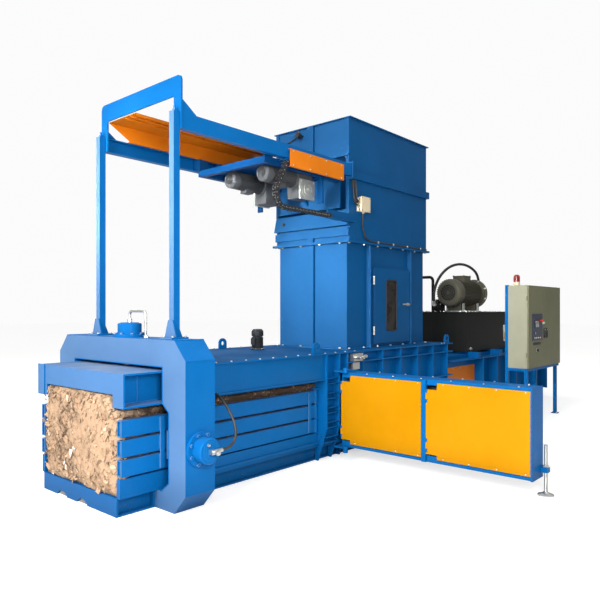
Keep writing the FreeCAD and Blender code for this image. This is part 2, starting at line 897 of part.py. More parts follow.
# --- hood over the far half of the gantry and guard plate on the near beam ------------------------
hood_section = [
    ("beam_out-5", "post_top"),
    ("beam_out-5", "post_top+4"),
    ("portal_inner+9", "post_top+4"),
    ("portal_inner+9", "hood_top+4"),
    ("hood_edge", "hood_top+4"),
    ("hood_edge", "hood_top-22"),
    ("hood_edge+4", "hood_top-22"),
    ("hood_edge+4", "hood_top"),
    ("portal_inner+5", "hood_top"),
    ("portal_inner+5", "post_top"),
]
hood = prism("X", "-portal_x+25", "portal_x-25-1265", hood_section)
hood_ribs = [
    block(("-portal_x+25", "-1265"), (y, y + "+14"), ("hood_top-18", "hood_top")) for y in ("158", "246")
]
hood_slant = prism(
    "Y",
    "hood_edge-10",
    "beam_out",
    [
        ("-portal_x+20", "post_top-1"),
        ("-portal_x+235", "post_top-1"),
        ("-portal_x+235", "post_top+14"),
        ("-portal_x+25", "hood_top-2"),
        ("-portal_x+20", "hood_top-2"),
    ],
)
hood_shell = less(fused(hood, *hood_ribs), hood_slant)
guard_section = [
    ("-beam_out-32", "guard_low"),
    ("-beam_out-10", "guard_low"),
    ("-beam_out-10", "guard_low+3"),
    ("-beam_out-29", "guard_low+3"),
    ("-beam_out-29", "guard_high-3"),
    ("-beam_out-10", "guard_high-3"),
    ("-beam_out-10", "guard_high"),
    ("-beam_out-32", "guard_high"),
]
guard = prism("X", "-guard_front", "guard_front-guard_rear", guard_section)
guard_stays = [
    block((x, x + "+40"), ("-beam_out-29", "-beam_out"), ("beam_low+15", "beam_low+65"))
    for x in ("-guard_front+60", "-guard_rear-100")
]
piece("gantry_covers", hood_shell, guard, *guard_stays)

# --- feed tower, lower half: walls with the inspection opening, flanges, stiffeners, door frame ---


def square_ring(out_x, out_y, in_x, in_y, low, high):
    """A flat rectangular ring round the tower's axis, between two heights."""
    corners = [("-", "-"), ("", "-"), ("", ""), ("-", "")]
    outer = [(f"{i}({out_x})", f"{j}({out_y})") for i, j in corners]
    inner = [(f"{i}({in_x})", f"{j}({in_y})") for i, j in corners]
    return prism("Z", low, f"({high})-({low})", outer, inner)


lower_inside = ("tower_half_x-tower_wall", "tower_half_y-tower_wall")
lower_walls = square_ring("tower_half_x", "tower_half_y", *lower_inside, "roof_top", "tower_joint")
lower_flanges = [
    square_ring(
        "tower_half_x+flange_out",
        "tower_half_y+flange_out",
        *lower_inside,
        low,
        low + "+flange_thick",
    )
    for low in ("roof_top", "tower_joint-flange_thick")
]
lower_ribs = [
    block((x, x + "+12"), (f"-tower_half_y-{out}", "-tower_half_y"), ("roof_top", "tower_joint"))
    for x, out in (("-451", "58"), ("440", "58"))
]
centre_ribs = [
    block((start, start + "+34"), ("-48", "48"), ("roof_top", "tower_joint"))
    for start in ("-tower_half_x-34", "tower_half_x")
]
door_frame = prism(
    "Y",
    "-tower_half_y-12",
    "12",
    [
        ("-door_left-30", "door_low-30"),
        ("door_right+24", "door_low-30"),
        ("door_right+24", "door_high+30"),
        ("-door_left-30", "door_high+30"),
    ],
)
door_opening = block(
    ("-door_left+25", "door_right-25"),
    ("-tower_half_y-13", "-tower_half_y+tower_wall+1"),
    ("door_low+25", "door_high-25"),
)
hinge_at = ("-door_left-13", "-tower_half_y-40")
hinge_heights = ("door_low+100", "door_high-200")


def knuckle(at, low, reach, radius="11"):
    """One barrel of a hinge, standing upright."""
    return rod("Z", (at[0], at[1], low), radius, reach)


fixed_knuckles = []
for low in hinge_heights:
    for start in (low, low + "+70"):
        fixed_knuckles.append(knuckle(hinge_at, start, "30"))
        fixed_knuckles.append(
            block(
                ("-door_left-24", "-door_left-8"),
                ("-tower_half_y-40", "-tower_half_y-12"),
                (start, start + "+30"),
            )
        )
keeper = block(
    ("door_right+8", "door_right+22"),
    ("-tower_half_y-52", "-tower_half_y-12"),
    ("1570", "1630"),
)
lower_solid = fused(
    lower_walls,
    *lower_flanges,
    *lower_ribs,
    *[mirrored(rib) for rib in lower_ribs],
    *centre_ribs,
    door_frame,
    *fixed_knuckles,
    keeper,
)
piece("tower_lower", less(lower_solid, door_opening))

# --- feed tower, upper half: walls with the trolley's opening, rim, bands, sloping front panel ----
upper_inside = ("upper_half_x-tower_wall", "upper_half_y-tower_wall")
upper_walls = square_ring("upper_half_x", "upper_half_y", *upper_inside, "tower_joint", "tower_top")
upper_flange = square_ring(
    "tower_half_x+flange_out",
    "tower_half_y+flange_out",
    *upper_inside,
    "tower_joint",
    "tower_joint+flange_thick",
)
upper_rim = square_ring(
    "upper_half_x+24",
    "upper_half_y+24",
    *upper_inside,
    "tower_top-10",
    "tower_top",
)
side_band = block(
    ("-upper_half_x", "upper_half_x"),
    ("-upper_half_y-30", "-upper_half_y"),
    ("2978", "3062"),
)
rear_band = block(
    ("upper_half_x", "upper_half_x+30"),
    ("-upper_half_y-30", "upper_half_y+30"),
    ("2978", "3062"),
)
front_bands = [
    block(("-upper_half_x-28", "-upper_half_x"), ("-upper_half_y", "upper_half_y"), span)
    for span in (("2352", "2438"), ("gate_high", "gate_high+26"))
]
front_ribs = [
    block(("-upper_half_x-28", "-upper_half_x"), ("-48", "48"), span)
    for span in (("gate_high+26", "tower_top-10"), ("tower_joint+flange_thick", "2352"))
]
slope = prism(
    "Y",
    "-upper_half_y",
    "2*upper_half_y",
    [
        ("-upper_half_x", "2462"),
        ("-upper_half_x", "gate_low"),
        ("-upper_half_x-10", "gate_low"),
        ("-upper_half_x-52", "2462"),
    ],
)
corner_strips = [
    block(("-upper_half_x-14", "-upper_half_x"), ends, ("gate_low", "tower_top-10"))
    for ends in (("-upper_half_y", "-upper_half_y+44"), ("upper_half_y-44", "upper_half_y"))
]
beam_seats = [
    block(
        ("-upper_half_x-14", "-upper_half_x+14"),
        ("-beam_out-14", "-upper_half_y"),
        ("beam_low-30", "post_top+30"),
    )
]
gate_opening = block(
    ("-upper_half_x-60", "-upper_half_x+tower_wall+1"),
    ("-upper_half_y+46", "upper_half_y-46"),
    ("gate_low", "gate_high"),
)
tray_floor = block(
    ("-1240", "-upper_half_x+40"),
    ("-upper_half_y-66", "-upper_half_y"),
    ("chain_low-chain_high/2-6", "chain_low-chain_high/2"),
)
tray_back = block(
    ("-1240", "-upper_half_x+40"),
    ("-upper_half_y-10", "-upper_half_y"),
    ("chain_low-chain_high/2", "2590"),
)
upper_solid = fused(
    upper_walls,
    upper_flange,
    upper_rim,
    *both(side_band),
    rear_band,
    *front_bands,
    *front_ribs,
    slope,
    *corner_strips,
    *both(beam_seats[0]),
    tray_floor,
    tray_back,
)
piece("tower_upper", less(upper_solid, gate_opening))

# --- inspection door with its window and lever latch -----------------------------------------------
door_face = "-tower_half_y-12-door_thick"
door_panel = prism(
    "Y",
    door_face,
    "door_thick-pin_play",
    [
        ("-door_left", "door_low"),
        ("door_right", "door_low"),
        ("door_right", "door_high"),
        ("-door_left", "door_high"),
    ],
    [
        ("-window_left", "window_low"),
        ("window_right", "window_low"),
        ("window_right", "window_high"),
        ("-window_left", "window_high"),
    ],
)
door_knuckles = []
for low in hinge_heights:
    start = low + "+30+pin_play"
    door_knuckles.append(knuckle(hinge_at, start, "40-2*pin_play"))
    door_knuckles.append(
        block(
            ("-door_left-13", "-door_left"),
            (door_face, door_face + "+14"),
            (start, start + "+40-2*pin_play"),
        )
    )
piece("inspection_door", door_panel, *door_knuckles)
piece(
    "door_window",
    block(
        ("-window_left", "window_right"),
        (door_face + "+10", door_face + "+16"),
        ("window_low", "window_high"),
    ),
)
latch_axis = ("door_right-60", "1600")
latch_boss = rod("Y", (latch_axis[0], door_face + "-22", latch_axis[1]), "20", "21.7")
latch_lever = block(
    ("door_right-190", "door_right-42"),
    (door_face + "-36", door_face + "-22"),
    ("1590", "1610"),
)
piece("door_latch", latch_boss, latch_lever)

# --- feed trolley: tube frame on slide shoes in the beams, pusher plate, arm to the chain ---------
frame_tubes = [
    block(
        ("-trolley_front", "-trolley_rear"),
        (side, side + "+tube_size"),
        ("trolley_low", "trolley_low+tube_size"),
    )
    for side in ("-trolley_half", "trolley_half-tube_size")
]
cross_tubes = [
    block(
        (start, start + "+tube_size"),
        ("-trolley_half", "trolley_half"),
        ("trolley_low", "trolley_low+tube_size"),
    )
    for start in ("-trolley_front", "-trolley_rear-tube_size")
]
shoe_arms = []
for x in ("-trolley_front", "-trolley_front+280"):
    shoe_arms.append(
        block(
            (x, x + "+110"),
            ("-beam_out+beam_web+2", "-trolley_half+20"),
            ("beam_low+beam_web+pin_play", "post_top-beam_web-1"),
        )
    )
    shoe_arms.append(
        block(
            (x, x + "+110"),
            ("-trolley_half", "-trolley_half+20"),
            ("trolley_low+tube_size", "beam_low+beam_web+30"),
        )
    )
arm_x = "-trolley_front+180"
chain_arm = block(
    (arm_x, arm_x + "+60"),
    ("-chain_y-chain_wide/2", "-trolley_half"),
    ("trolley_low+40", "trolley_low+52"),
)
hangers = [
    block((x, x + "+20"), (y, y + "+70"), ("2660", "trolley_low"))
    for x, y in (("-1230", "-trolley_half+5"), ("-1230", "trolley_half-75"))
]
deck = block(
    ("-trolley_front+20", "-trolley_rear"),
    ("-trolley_half+20", "trolley_half-20"),
    ("trolley_low+tube_size", "trolley_low+tube_size+12"),
)
piece(
    "trolley_frame",
    *frame_tubes,
    *cross_tubes,
    *[half for part in shoe_arms for half in both(part)],
    chain_arm,
    *hangers,
    deck,
)
pusher_front = "-upper_half_x-58"
pusher_plate = block(
    (f"{pusher_front}-14", pusher_front),
    ("-trolley_half+20", "trolley_half-20"),
    ("gate_low+16", "trolley_low+tube_size"),
)
pusher_arms = [
    block(
        ("-trolley_rear", f"{pusher_front}-14"),
        (y, y + "+50"),
        ("trolley_low", "trolley_low+50"),
    )
    for y in ("-trolley_half+30", "-25", "trolley_half-80")
]
pusher_brace = prism(
    "Y",
    "-15",
    "30",
    [
        (f"{pusher_front}-14", "trolley_low"),
        (f"{pusher_front}-14", "gate_low+80"),
        ("-trolley_rear+20", "trolley_low"),
    ],
)
piece("pusher_plate", pusher_plate, *pusher_arms, pusher_brace)


def gearmotor(cowl, y, z, side):
    """A motor along +X into a gear case whose square flange faces the side."""
    fan_end = turned(
        "X",
        (cowl, y, z),
        ("0", "0"),
        ("62", "0"),
        ("88", "18"),
        ("88", "90"),
        ("78", "90"),
        ("78", "450"),
        ("96", "450"),
        ("96", "472"),
        ("0", "472"),
    )
    fins = [
        block((f"{cowl}+110", f"{cowl}+430"), (f"{y}-4", f"{y}+4"), (f"{z}-90", f"{z}+90")),
        block((f"{cowl}+110", f"{cowl}+430"), (f"{y}-90", f"{y}+90"), (f"{z}-4", f"{z}+4")),
    ]
    terminal = block(
        (f"{cowl}+200", f"{cowl}+310"), (f"{y}-45", f"{y}+45"), (f"{z}-116", f"{z}-70")
    )
    case = block(
        (f"{cowl}+472", f"{cowl}+656"), (f"{y}-85", f"{y}+85"), (f"{z}-196", f"{z}+98")
    )
    face = f"{y}-105" if side < 0 else f"{y}+85"
    flange = block((f"{cowl}+470", f"{cowl}+660"), (face, face + "+20"), (f"{z}-197", f"{z}-7"))
    boss_face = f"{y}-121" if side < 0 else f"{y}+105"
    boss = rod("Y", (f"{cowl}+565", boss_face, f"{z}-102"), "58", "16")
    shaft_face = f"{y}-135" if side < 0 else f"{y}+121"
    shaft = rod("Y", (f"{cowl}+565", shaft_face, f"{z}-102"), "20", "14")
    return [fan_end, *fins, terminal, case, flange, boss, shaft]


piece(
    "travel_motors",
    *gearmotor("-1946", "-294", "trolley_low-38", -1),
    *gearmotor("-1930", "200", "trolley_low-38", 1),
)

# --- energy chain: pinned plate links from the tray, round one bend, up to the trolley's arm ------


def link_plate(length, depth, thick):
    """One side plate of a link, with clipped corners and a six-sided window at its middle."""
    clip = depth * 0.3
    half = length / 2
    outer = [
        (-half, -depth / 2 + clip),
        (-half + clip, -depth / 2),
        (half - clip, -depth / 2),
        (half, -depth / 2 + clip),
        (half, depth / 2 - clip),
        (half - clip, depth / 2),
        (-half + clip, depth / 2),
        (-half, depth / 2 - clip),
    ]
    window = [
        (
            depth * 0.2 * math.cos(math.radians(60 * i)),
            depth * 0.2 * math.sin(math.radians(60 * i)),
        )
        for i in range(6)
    ]
    plates = []
    for ring in (outer, window):
        corners = [FreeCAD.Vector(u, 0, v) for u, v in ring]
        face = Part.Face(Part.makePolygon(corners + corners[:1]))
        plates.append(face.extrude(FreeCAD.Vector(0, thick, 0)))
    return plates[0].cut(plates[1])


def chain_link(odd):
    """Two side plates and two cross bars, centred on the origin; odd links lie outside."""
    pitch = number("chain_pitch")
    depth = number("chain_high")
    wide = number("chain_wide")
    thick = 4
    inset = 0 if odd else thick
    solids = []
    for y in (-wide / 2 + inset, wide / 2 - inset - thick):
        plate = link_plate(pitch + depth * 0.55, depth, thick)
        plate.translate(FreeCAD.Vector(0, y, 0))
        solids.append(plate)
    for z in (-depth / 2, depth / 2 - 5):
        bar = Part.makeBox(12, wide - 2 * inset, 5, FreeCAD.Vector(-6, -wide / 2 + inset, z))
        solids.append(bar)
    return solids[0].fuse(solids[1:])


def chain_places():
    """Middle and tilt of each link along the tray, the bend and the rise to the arm."""
    pitch = number("chain_pitch")
    bend = number("chain_bend")
    low = number("chain_low")
    start = -1225.0
    bend_x = number("-trolley_front+170")
    flat = start - bend_x
    turn = math.radians(118)
    rise = 295.0
    total = flat + bend * turn + rise
    count = int(total // pitch)
    places = []
    for k in range(count):
        along = (k + 0.5) * pitch
        if along < flat:
            places.append((start - along, low, 0.0))
        elif along < flat + bend * turn:
            angle = (along - flat) / bend
            x = bend_x - bend * math.sin(angle)
            z = low + bend - bend * math.cos(angle)
            places.append((x, z, angle))
        else:
            past = along - flat - bend * turn
            x = bend_x - bend * math.sin(turn) - past * math.cos(turn)
            z = low + bend - bend * math.cos(turn) + past * math.sin(turn)
            places.append((x, z, turn))
    return places


links = []
for index, (x, z, angle) in enumerate(chain_places()):
    link = chain_link(index % 2)
    link.rotate(FreeCAD.Vector(), FreeCAD.Vector(0, 1, 0), math.degrees(angle))
    link.translate(FreeCAD.Vector(x, -number("chain_y"), z))
    links.append(link)
print("energy chain links", len(links))
piece("energy_chain", shaped(Part.makeCompound(links)))

# --- junction box with four glands, the clipped cable down to the joint flange, the level sensor --
junction = [
    block(("-706", "-551"), ("-upper_half_y-70", "-upper_half_y"), ("2630", "2785")),
    block(("-712", "-545"), ("-upper_half_y-74", "-upper_half_y-62"), ("2624", "2791")),
]
glands = [rod("X", ("-728", "-upper_half_y-34", z), "12", "22") for z in ("2652", "2688", "2724", "2760")]
bottom_gland = rod("Z", ("-630", "-upper_half_y-34", "2608"), "13", "22")
piece("junction_box", *junction, *glands, bottom_gland)


def disc(centre, axis, radius):
    """A round face across an axis."""
    return Part.Face(Part.Wire(Part.Circle(centre, axis, radius).toShape()))


def round_bar(spots, radius, bends):
    """A round bar of straight runs joined by tangent arcs; each corner has its own bend radius."""
    here = spots[0]
    solids = []
    length = 0
    for corner, bend in enumerate(bends, 1):
        before = (spots[corner] - spots[corner - 1]).normalize()
        after = (spots[corner + 1] - spots[corner]).normalize()
        turn = before.getAngle(after)
        back = bend * math.tan(turn / 2)
        first = spots[corner] - before * back
        axis = before.cross(after).normalize()
        centre = first + axis.cross(before) * bend
        solids.append(disc(here, before, radius).extrude(first - here))
        solids.append(disc(first, before, radius).revolve(centre, axis, math.degrees(turn)))
        length += first.distanceToPoint(here) + bend * turn
        here = spots[corner] + after * back
    solids.append(disc(here, spots[-1] - here, radius).extrude(spots[-1] - here))
    length += spots[-1].distanceToPoint(here)
    return solids[0].multiFuse(solids[1:]).removeSplitter(), length


def tube_along(points, radius, bend):
    """A bent pipe or clipped cable with one bend radius."""
    spots = [FreeCAD.Vector(*spot) for spot in points]
    return round_bar(spots, radius, [bend] * (len(spots) - 2))[0]


side_y = -number("upper_half_y") - 34
wall_y = -number("upper_half_y") - 12
flange_y = -number("tower_half_y") - number("flange_out") - 2
cable_down = tube_along(
    [
        (-630, side_y, 2608),
        (-630, side_y, 2560),
        (-615, wall_y, 2480),
        (-560, wall_y, 2345),
        (-450, wall_y, 2314),
        (number("upper_half_x") - 20, wall_y, 2314),
    ],
    10,
    30,
)
cable_up = tube_along(
    [
        (-728, side_y, 2724),
        (-775, side_y, 2724),
        (-792, wall_y - 14, 2800),
        (-792, wall_y - 14, 2960),
    ],
    11,
    24,
)
piece("service_cables", shaped(Part.makeCompound([cable_down, cable_up])))
sensor_x = "-upper_half_x-28"
sensor = [
    block((f"{sensor_x}-36", "-upper_half_x"), ("120", "140"), ("tower_top-96", "tower_top-84")),
    rod("X", (f"{sensor_x}-60", "153", "tower_top-90"), "30", "60"),
    rod("Z", (f"{sensor_x}-30", "153", "tower_top-66"), "14", "26"),
]
piece("level_sensor", *sensor)

# --- needle box: channel frame hung on the columns, middle post, guide rails, drive tube ----------
box_skin = ("-box_front+panel_thick", "-box_rear-panel_thick")
box_caps = [
    block(box_skin, ("-box_outer", "-box_inner"), span)
    for span in (("panel_high+3", "box_high"), ("box_low", "panel_low-3"))
]
box_lips = [
    block((x, x + "+4"), ("-box_outer", "-box_inner"), span)
    for x in ("-box_front+panel_thick", "-box_rear-panel_thick-4")
    for span in (("panel_high-24", "panel_high+3"), ("panel_low-3", "panel_low+24"))
]
box_end = block(
    ("-box_front", "-box_rear"),
    ("-box_outer", "-box_outer+12"),
    ("box_low", "box_high"),
)
box_inner_end = block(
    box_skin,
    ("-box_inner-12", "-box_inner"),
    ("panel_low-3", "panel_high+3"),
)
box_posts = [
    block(
        span,
        ("-box_post-box_post_wide/2", "-box_post+box_post_wide/2"),
        ("box_low", "box_high-4"),
    )
    for span in (
        ("-box_front", "-box_front+panel_thick+10"),
        ("-box_rear-panel_thick", "-box_rear"),
    )
]
hanger_plates = [
    block(
        ("-press_start+224", "-box_rear-40"),
        ("-box_inner-60", "-rib_half"),
        span,
    )
    for span in (("box_high", "box_high+14"), ("box_low-14", "box_low"))
]
hanger_arms = [
    block(("-box_front-22", "-press_start+224"), ("-box_inner-64", "-rib_half"), span)
    for span in (("box_high", "box_high+14"), ("box_low-14", "box_low"))
]
hanger_bosses = [
    rod("Z", ("-box_front-2", "-box_inner-58", low), "25", reach)
    for low, reach in (("box_high-4", "52"), ("box_low-54", "60"))
]
guide_x = ("-needle_x-9", "-needle_x+9")
needle_rails = [
    block(guide_x, ("-box_outer+12", "-box_inner-12"), span)
    for span in (("panel_low-3", "panel_low+9"), ("panel_high-9", "panel_high+3"))
]
drive_tube = rod(
    "Y",
    ("-needle_x+59", "-box_outer+12", "barrel_z"),
    "18",
    "box_outer-12-box_inner-12",
)
needle_gate = block(
    ("-needle_x-27", "-needle_x+27"),
    ("-box_inner-13", "-box_inner+1"),
    ("panel_low+9", "panel_high-9"),
)
panel_hinges = ("-box_inner-4", "-box_post-box_post_wide/2-10")


def guard_hinge(x, y, low, moving):
    """The fixed or the moving barrels of one guard door's hinge."""
    if moving:
        return [knuckle((x, y), f"{low}+30+pin_play", "60-2*pin_play", "9")]
    return [knuckle((x, y), start, "30", "9") for start in (low, f"{low}+90")]


fixed_barrels = []
for face in ("-box_front", "-box_rear"):
    for y in panel_hinges:
        for low in ("panel_low+60", "panel_high-180"):
            fixed_barrels += guard_hinge(face, y, low, False)
            inner = "+panel_thick" if face == "-box_front" else "-panel_thick"
            ends = (face, face + inner) if inner[0] == "+" else (face + inner, face)
            for start in (low, low + "+90"):
                fixed_barrels.append(block(ends, (y + "+1", y + "+10"), (start, start + "+30")))
foot_nut = block(
    ("-box_rear-51", "-box_rear+9"),
    ("-foot_y-24", "-box_outer"),
    ("190", "232"),
)
foot_bore = rod("Z", ("-box_rear-21", "-foot_y", "180"), "14+pin_play", "60")
box_solid = fused(
    *box_caps,
    *box_lips,
    box_end,
    box_inner_end,
    *box_posts,
    *hanger_plates,
    *hanger_arms,
    *hanger_bosses,
    *needle_rails,
    drive_tube,
    *fixed_barrels,
    foot_nut,
)
piece("needle_box", less(box_solid, needle_gate, foot_bore))


def guard_door(front, near_end, far_end, hinge_y):
    """A folded guard panel with joggled edges and a corner notch at each hinge end."""
    start = "-box_front" if front else "-box_rear-panel_thick+pin_play"
    skin = block(
        (start, start + "+panel_thick-pin_play"),
        (far_end, near_end),
        ("panel_low+24+3", "panel_high-24-3"),
    )
    edge = start + "+4" if front else start
    edges = [
        block((edge, edge + "+panel_thick-pin_play-4"), (far_end, near_end), span)
        for span in (
            ("panel_high-27", "panel_high"),
            ("panel_low", "panel_low+27"),
        )
    ]
    barrels = []
    for low in ("panel_low+60", "panel_high-180"):
        face = "-box_front" if front else "-box_rear"
        barrels += guard_hinge(face, hinge_y, low, True)
    door = fused(skin, *edges, *barrels)
    slots = []
    through = (start + "-1", start + "+panel_thick+1")
    for low in ("panel_low+60", "panel_high-180"):
        face = "-box_front" if front else "-box_rear"
        for begin in (low, low + "+90"):
            slots.append(knuckle((face, hinge_y), begin + "-0.1", "30.2", "9.6"))
            slots.append(block(through, (hinge_y, near_end + "+1"), (begin, begin + "+30")))
    notch = [
        block(through, (near_end + "-110", near_end + "+1"), span)
        for span in (("panel_high-62", "panel_high+1"), ("panel_low-1", "panel_low+40"))
    ]
    return less(door, *slots, *notch)


inner_ends = ("-box_inner-3", "-box_post+box_post_wide/2+4")
outer_ends = ("-box_post-box_post_wide/2-3", "-box_outer+14")
for side, front in (("front", True), ("rear", False)):
    piece(f"guard_{side}_inner", guard_door(front, *inner_ends, panel_hinges[0]))
    piece(f"guard_{side}_outer", guard_door(front, *outer_ends, panel_hinges[1]))

# --- needle carriage, its five eyed needles, and the adjustable foot under the box's outer end ----
carriage_y = ("-carriage_y-carriage_thick/2", "-carriage_y+carriage_thick/2")
carriage_plate = block(
    ("-needle_x-34", "-needle_x+34"),
    carriage_y,
    ("panel_low+10", "panel_high-10"),
)
carriage_shoes = [
    block(
        (side, side + "+24.5"),
        ("-carriage_y-130", "-carriage_y+carriage_thick/2"),
        span,
    )
    for side in ("-needle_x-34", "-needle_x+9.5")
    for span in (("panel_low-2.5", "panel_low+50"), ("panel_high-50", "panel_high+2.5"))
]
drive_yoke = block(
    ("-needle_x+34", "-needle_x+79"),
    ("-carriage_y-110", "-carriage_y+50"),
    ("barrel_z-34", "barrel_z+34"),
)
drive_bore = rod(
    "Y",
    ("-needle_x+59", "-carriage_y-111", "barrel_z"),
    "18+pin_play",
    "162",
)
piece("needle_carriage", carriage_plate, *carriage_shoes, less(drive_yoke, drive_bore))
needles = []
for k in range(5):
    mid = f"needle_low+{k}*needle_pitch"
    needle_outline = [
        ("-carriage_y+carriage_thick/2", mid + "-needle_high/2"),
        ("-needle_tip-90", mid + "-needle_high/2"),
        ("-needle_tip-20", mid + "-8"),
        ("-needle_tip", mid + "+2"),
        ("-needle_tip-14", mid + "+needle_high/2"),
        ("-carriage_y+carriage_thick/2", mid + "+needle_high/2"),
    ]
    eye = ["circle", "-needle_tip-30", mid + "+3", "5"]
    needles.append(prism("X", "-needle_x-needle_wide/2", "needle_wide", needle_outline, eye))
piece("needles", *needles)
foot = turned(
    "Z",
    ("-box_rear-21", "-foot_y", "0"),
    ("0", "0"),
    ("foot_radius", "0"),
    ("foot_radius", "8"),
    ("30", "18"),
    ("14", "34"),
    ("14", "417"),
    ("0", "417"),
)
piece("jack_foot", foot)

# --- wire twister on the far side and its small motor on the roof ---------------------------------
twister_span = ("-needle_x-110", "-needle_x+110")
twister_top = "needle_low+4*needle_pitch+70"
twister_parts = [
    block(twister_span, ("rib_half", "rib_half+250"), span)
    for span in (("needle_low-82", "needle_low-62"), (twister_top, twister_top + "+20"))
]
twister_parts.append(
    block(twister_span, ("rib_half+238", "rib_half+250"), ("needle_low-62", twister_top))
)
for k in range(5):
    mid = f"needle_low+{k}*needle_pitch"
    head = turned(
        "Y",
        ("-needle_x", "rib_half+20", mid),
        ("0", "0"),
        ("24", "0"),
        ("36", "16"),
        ("36", "70"),
        ("20", "70"),
        ("20", "110"),
        ("0", "110"),
    )
    gear_case = block(
        ("-needle_x-44", "-needle_x+44"),
        ("rib_half+110", "rib_half+238"),
        (mid + "-44", mid + "+44"),
    )
    twister_parts += [head, gear_case]
twister_parts.append(
    rod("Z", ("-needle_x", "rib_half+174", "needle_low"), "16", f"{twister_top}-needle_low")
)
piece("wire_twister", *twister_parts)
roof_motor = turned(
    "Z",
    ("-1490", "225", "roof_top"),
    ("0", "0"),
    ("76", "0"),
    ("76", "16"),
    ("46", "16"),
    ("46", "62"),
    ("70", "70"),
    ("70", "88"),
    ("60", "88"),
    ("60", "176"),
    ("68", "176"),
    ("68", "218"),
    ("56", "230"),
    ("0", "230"),
)
roof_terminal = block(("-1530", "-1470"), ("150", "180"), ("roof_top+104", "roof_top+162"))
piece("roof_motor", roof_motor, roof_terminal)

# --- hydraulic unit: tank with lid, valve block and riser pipe, pump and its flanged motor --------
tank = block(("tank_front", "tank_rear"), ("-tank_half", "tank_half"), ("tank_low", "tank_top-14"))
lid = block(
    ("tank_front-12", "tank_rear+12"),
    ("-tank_half-12", "tank_half+12"),
    ("tank_top-14", "tank_top"),
)
filler = rod("Z", ("tank_rear-260", "tank_half-160", "tank_top"), "45", "90")
valve_block = [
    block(("tank_front+40", "tank_front+160"), ("-140", "-20"), ("tank_top", "tank_top+130")),
    rod("Z", ("tank_front+80", "-54", "tank_top+130"), "26", "60"),
]
top_z = number("tank_top")
front_x = number("tank_front")
riser = tube_along(
    [
        (front_x + 60, 10, top_z),
        (front_x + 60, 10, 2030),
        (front_x + 60, 250, 2030),
        (front_x + 60, 250, top_z),
    ],
    22,
    60,
)
elbow = tube_along(
    [
        (front_x + 40, -79.8, top_z + 62.8),
        (front_x - 47.6, -79.8, top_z + 62.8),
        (front_x - 63.9, -84, top_z + 98.7),
    ],
    25,
    30,
)
piece("hydraulic_tank", tank, lid, filler, *valve_block, shaped(riser), shaped(elbow))
motor_at = ("motor_front", "-motor_y", "motor_z")
pump_body = turned(
    "X",
    motor_at,
    ("0", "0"),
    ("motor_radius-60", "0"),
    ("motor_radius-8", "34"),
    ("motor_radius", "60"),
    ("motor_radius", "150"),
    ("motor_radius-22", "150"),
    ("motor_radius-22", "790"),
    ("motor_radius-12", "805"),
    ("motor_radius-12", "840"),
    ("motor_radius+18", "840"),
    ("motor_radius+18", "870"),
    ("120", "880"),
    ("105", "950"),
    ("105", "975"),
    ("78", "975"),
    ("78", "1190"),
    ("60", "1210"),
    ("0", "1210"),
)
pump_port = rod("Z", ("2986", "-motor_y", "motor_z+60"), "28", "44")
motor_feet = [
    block(
        (f"motor_front+{start}", f"motor_front+{start}+70"),
        ("-motor_y-170", "-motor_y+170"),
        ("tank_top", "motor_z-motor_radius+60"),
    )
    for start in (200, 680)
]
terminal_box = block(
    ("motor_front+330", "motor_front+560"),
    ("-motor_y-95", "-motor_y+95"),
    ("motor_z+motor_radius-40", "motor_z+motor_radius+62"),
)
piece("pump_motor", pump_body, *motor_feet, terminal_box, pump_port)

# --- hoses and pipes: pump hose over the motor, side jack hoses, bent pipe of the top jack --------


def hose(points, radius):
    """A free hose: each bend is as wide as its two runs allow, and its radii are printed."""
    spots = [FreeCAD.Vector(*spot) for spot in points]
    bends = []
    for i in range(1, len(spots) - 1):
        before = spots[i] - spots[i - 1]
        after = spots[i + 1] - spots[i]
        run = min(before.Length, after.Length)
        bends.append(0.45 * run / math.tan(before.getAngle(after) / 2))
    tube, length = round_bar(spots, radius, bends)
    share = tube.Volume / (math.pi * radius**2 * length)
    print("hose length", round(length), "radii", [round(bend) for bend in bends])
    print("hose volume over section times length", round(share, 4))
    return tube


pump_hose_points = [
    (1909, -84, 1600),
    (1862, -96, 1704),
    (1851, -112, 1814),
    (1878, -130, 1922),
    (1940, -150, 2022),
    (2034, -172, 2108),
    (2155, -194, 2176),
    (2296, -214, 2220),
    (2447, -232, 2239),
    (2600, -250, 2232),
    (2746, -266, 2198),
    (2876, -280, 2140),
    (2929, -286, 2087),
    (2966, -289, 2022),
    (2986, -290, 1950),
    (2986, -290, 1890.3),
]
side_hose_points = [
    (-3190.3, -1085, 483),
    (-3105, -1085, 483),
    (-3022, -1071, 512),
    (-2968, -1040, 580),
    (-2952, -995, 661),
    (-2953, -935, 741),
    (-2957, -869, 811),
    (-2960, -795, 856),
    (-2960, -720.3, 856),
]
side_hose = hose(side_hose_points, 11)
far_hose = side_hose.mirror(FreeCAD.Vector(), FreeCAD.Vector(0, 1, 0))
piece("pump_hose", shaped(hose(pump_hose_points, 20)))
piece("side_hose_near", shaped(side_hose))
piece("side_hose_far", shaped(far_hose))
jack_x = number(ring_mid)
ring_z = number("ring_high")
cap_z = number("ring_high+jack_cap")
top_pipe = tube_along(
    [
        (jack_x, 0, cap_z),
        (jack_x, 0, 1521),
        (jack_x, -235, 1521),
        (jack_x, -235, ring_z),
    ],
    11,
    36,
)
elbow_y = "ring_half+jack_cap"
side_unions = [
    block(
        (f"{ring_mid}-20", f"{ring_mid}+20"),
        (elbow_y, elbow_y + "+44"),
        ("side_jack_z-18", "side_jack_z+18"),
    ),
    rod("X", (f"{ring_mid}+20", elbow_y + "+22", "side_jack_z"), "15", "36"),
    rod("Y", (ring_mid, elbow_y + "+44", "side_jack_z"), "13", "54"),
    hexagon("Y", (ring_mid, elbow_y + "+76", "side_jack_z"), "19", "14"),
]
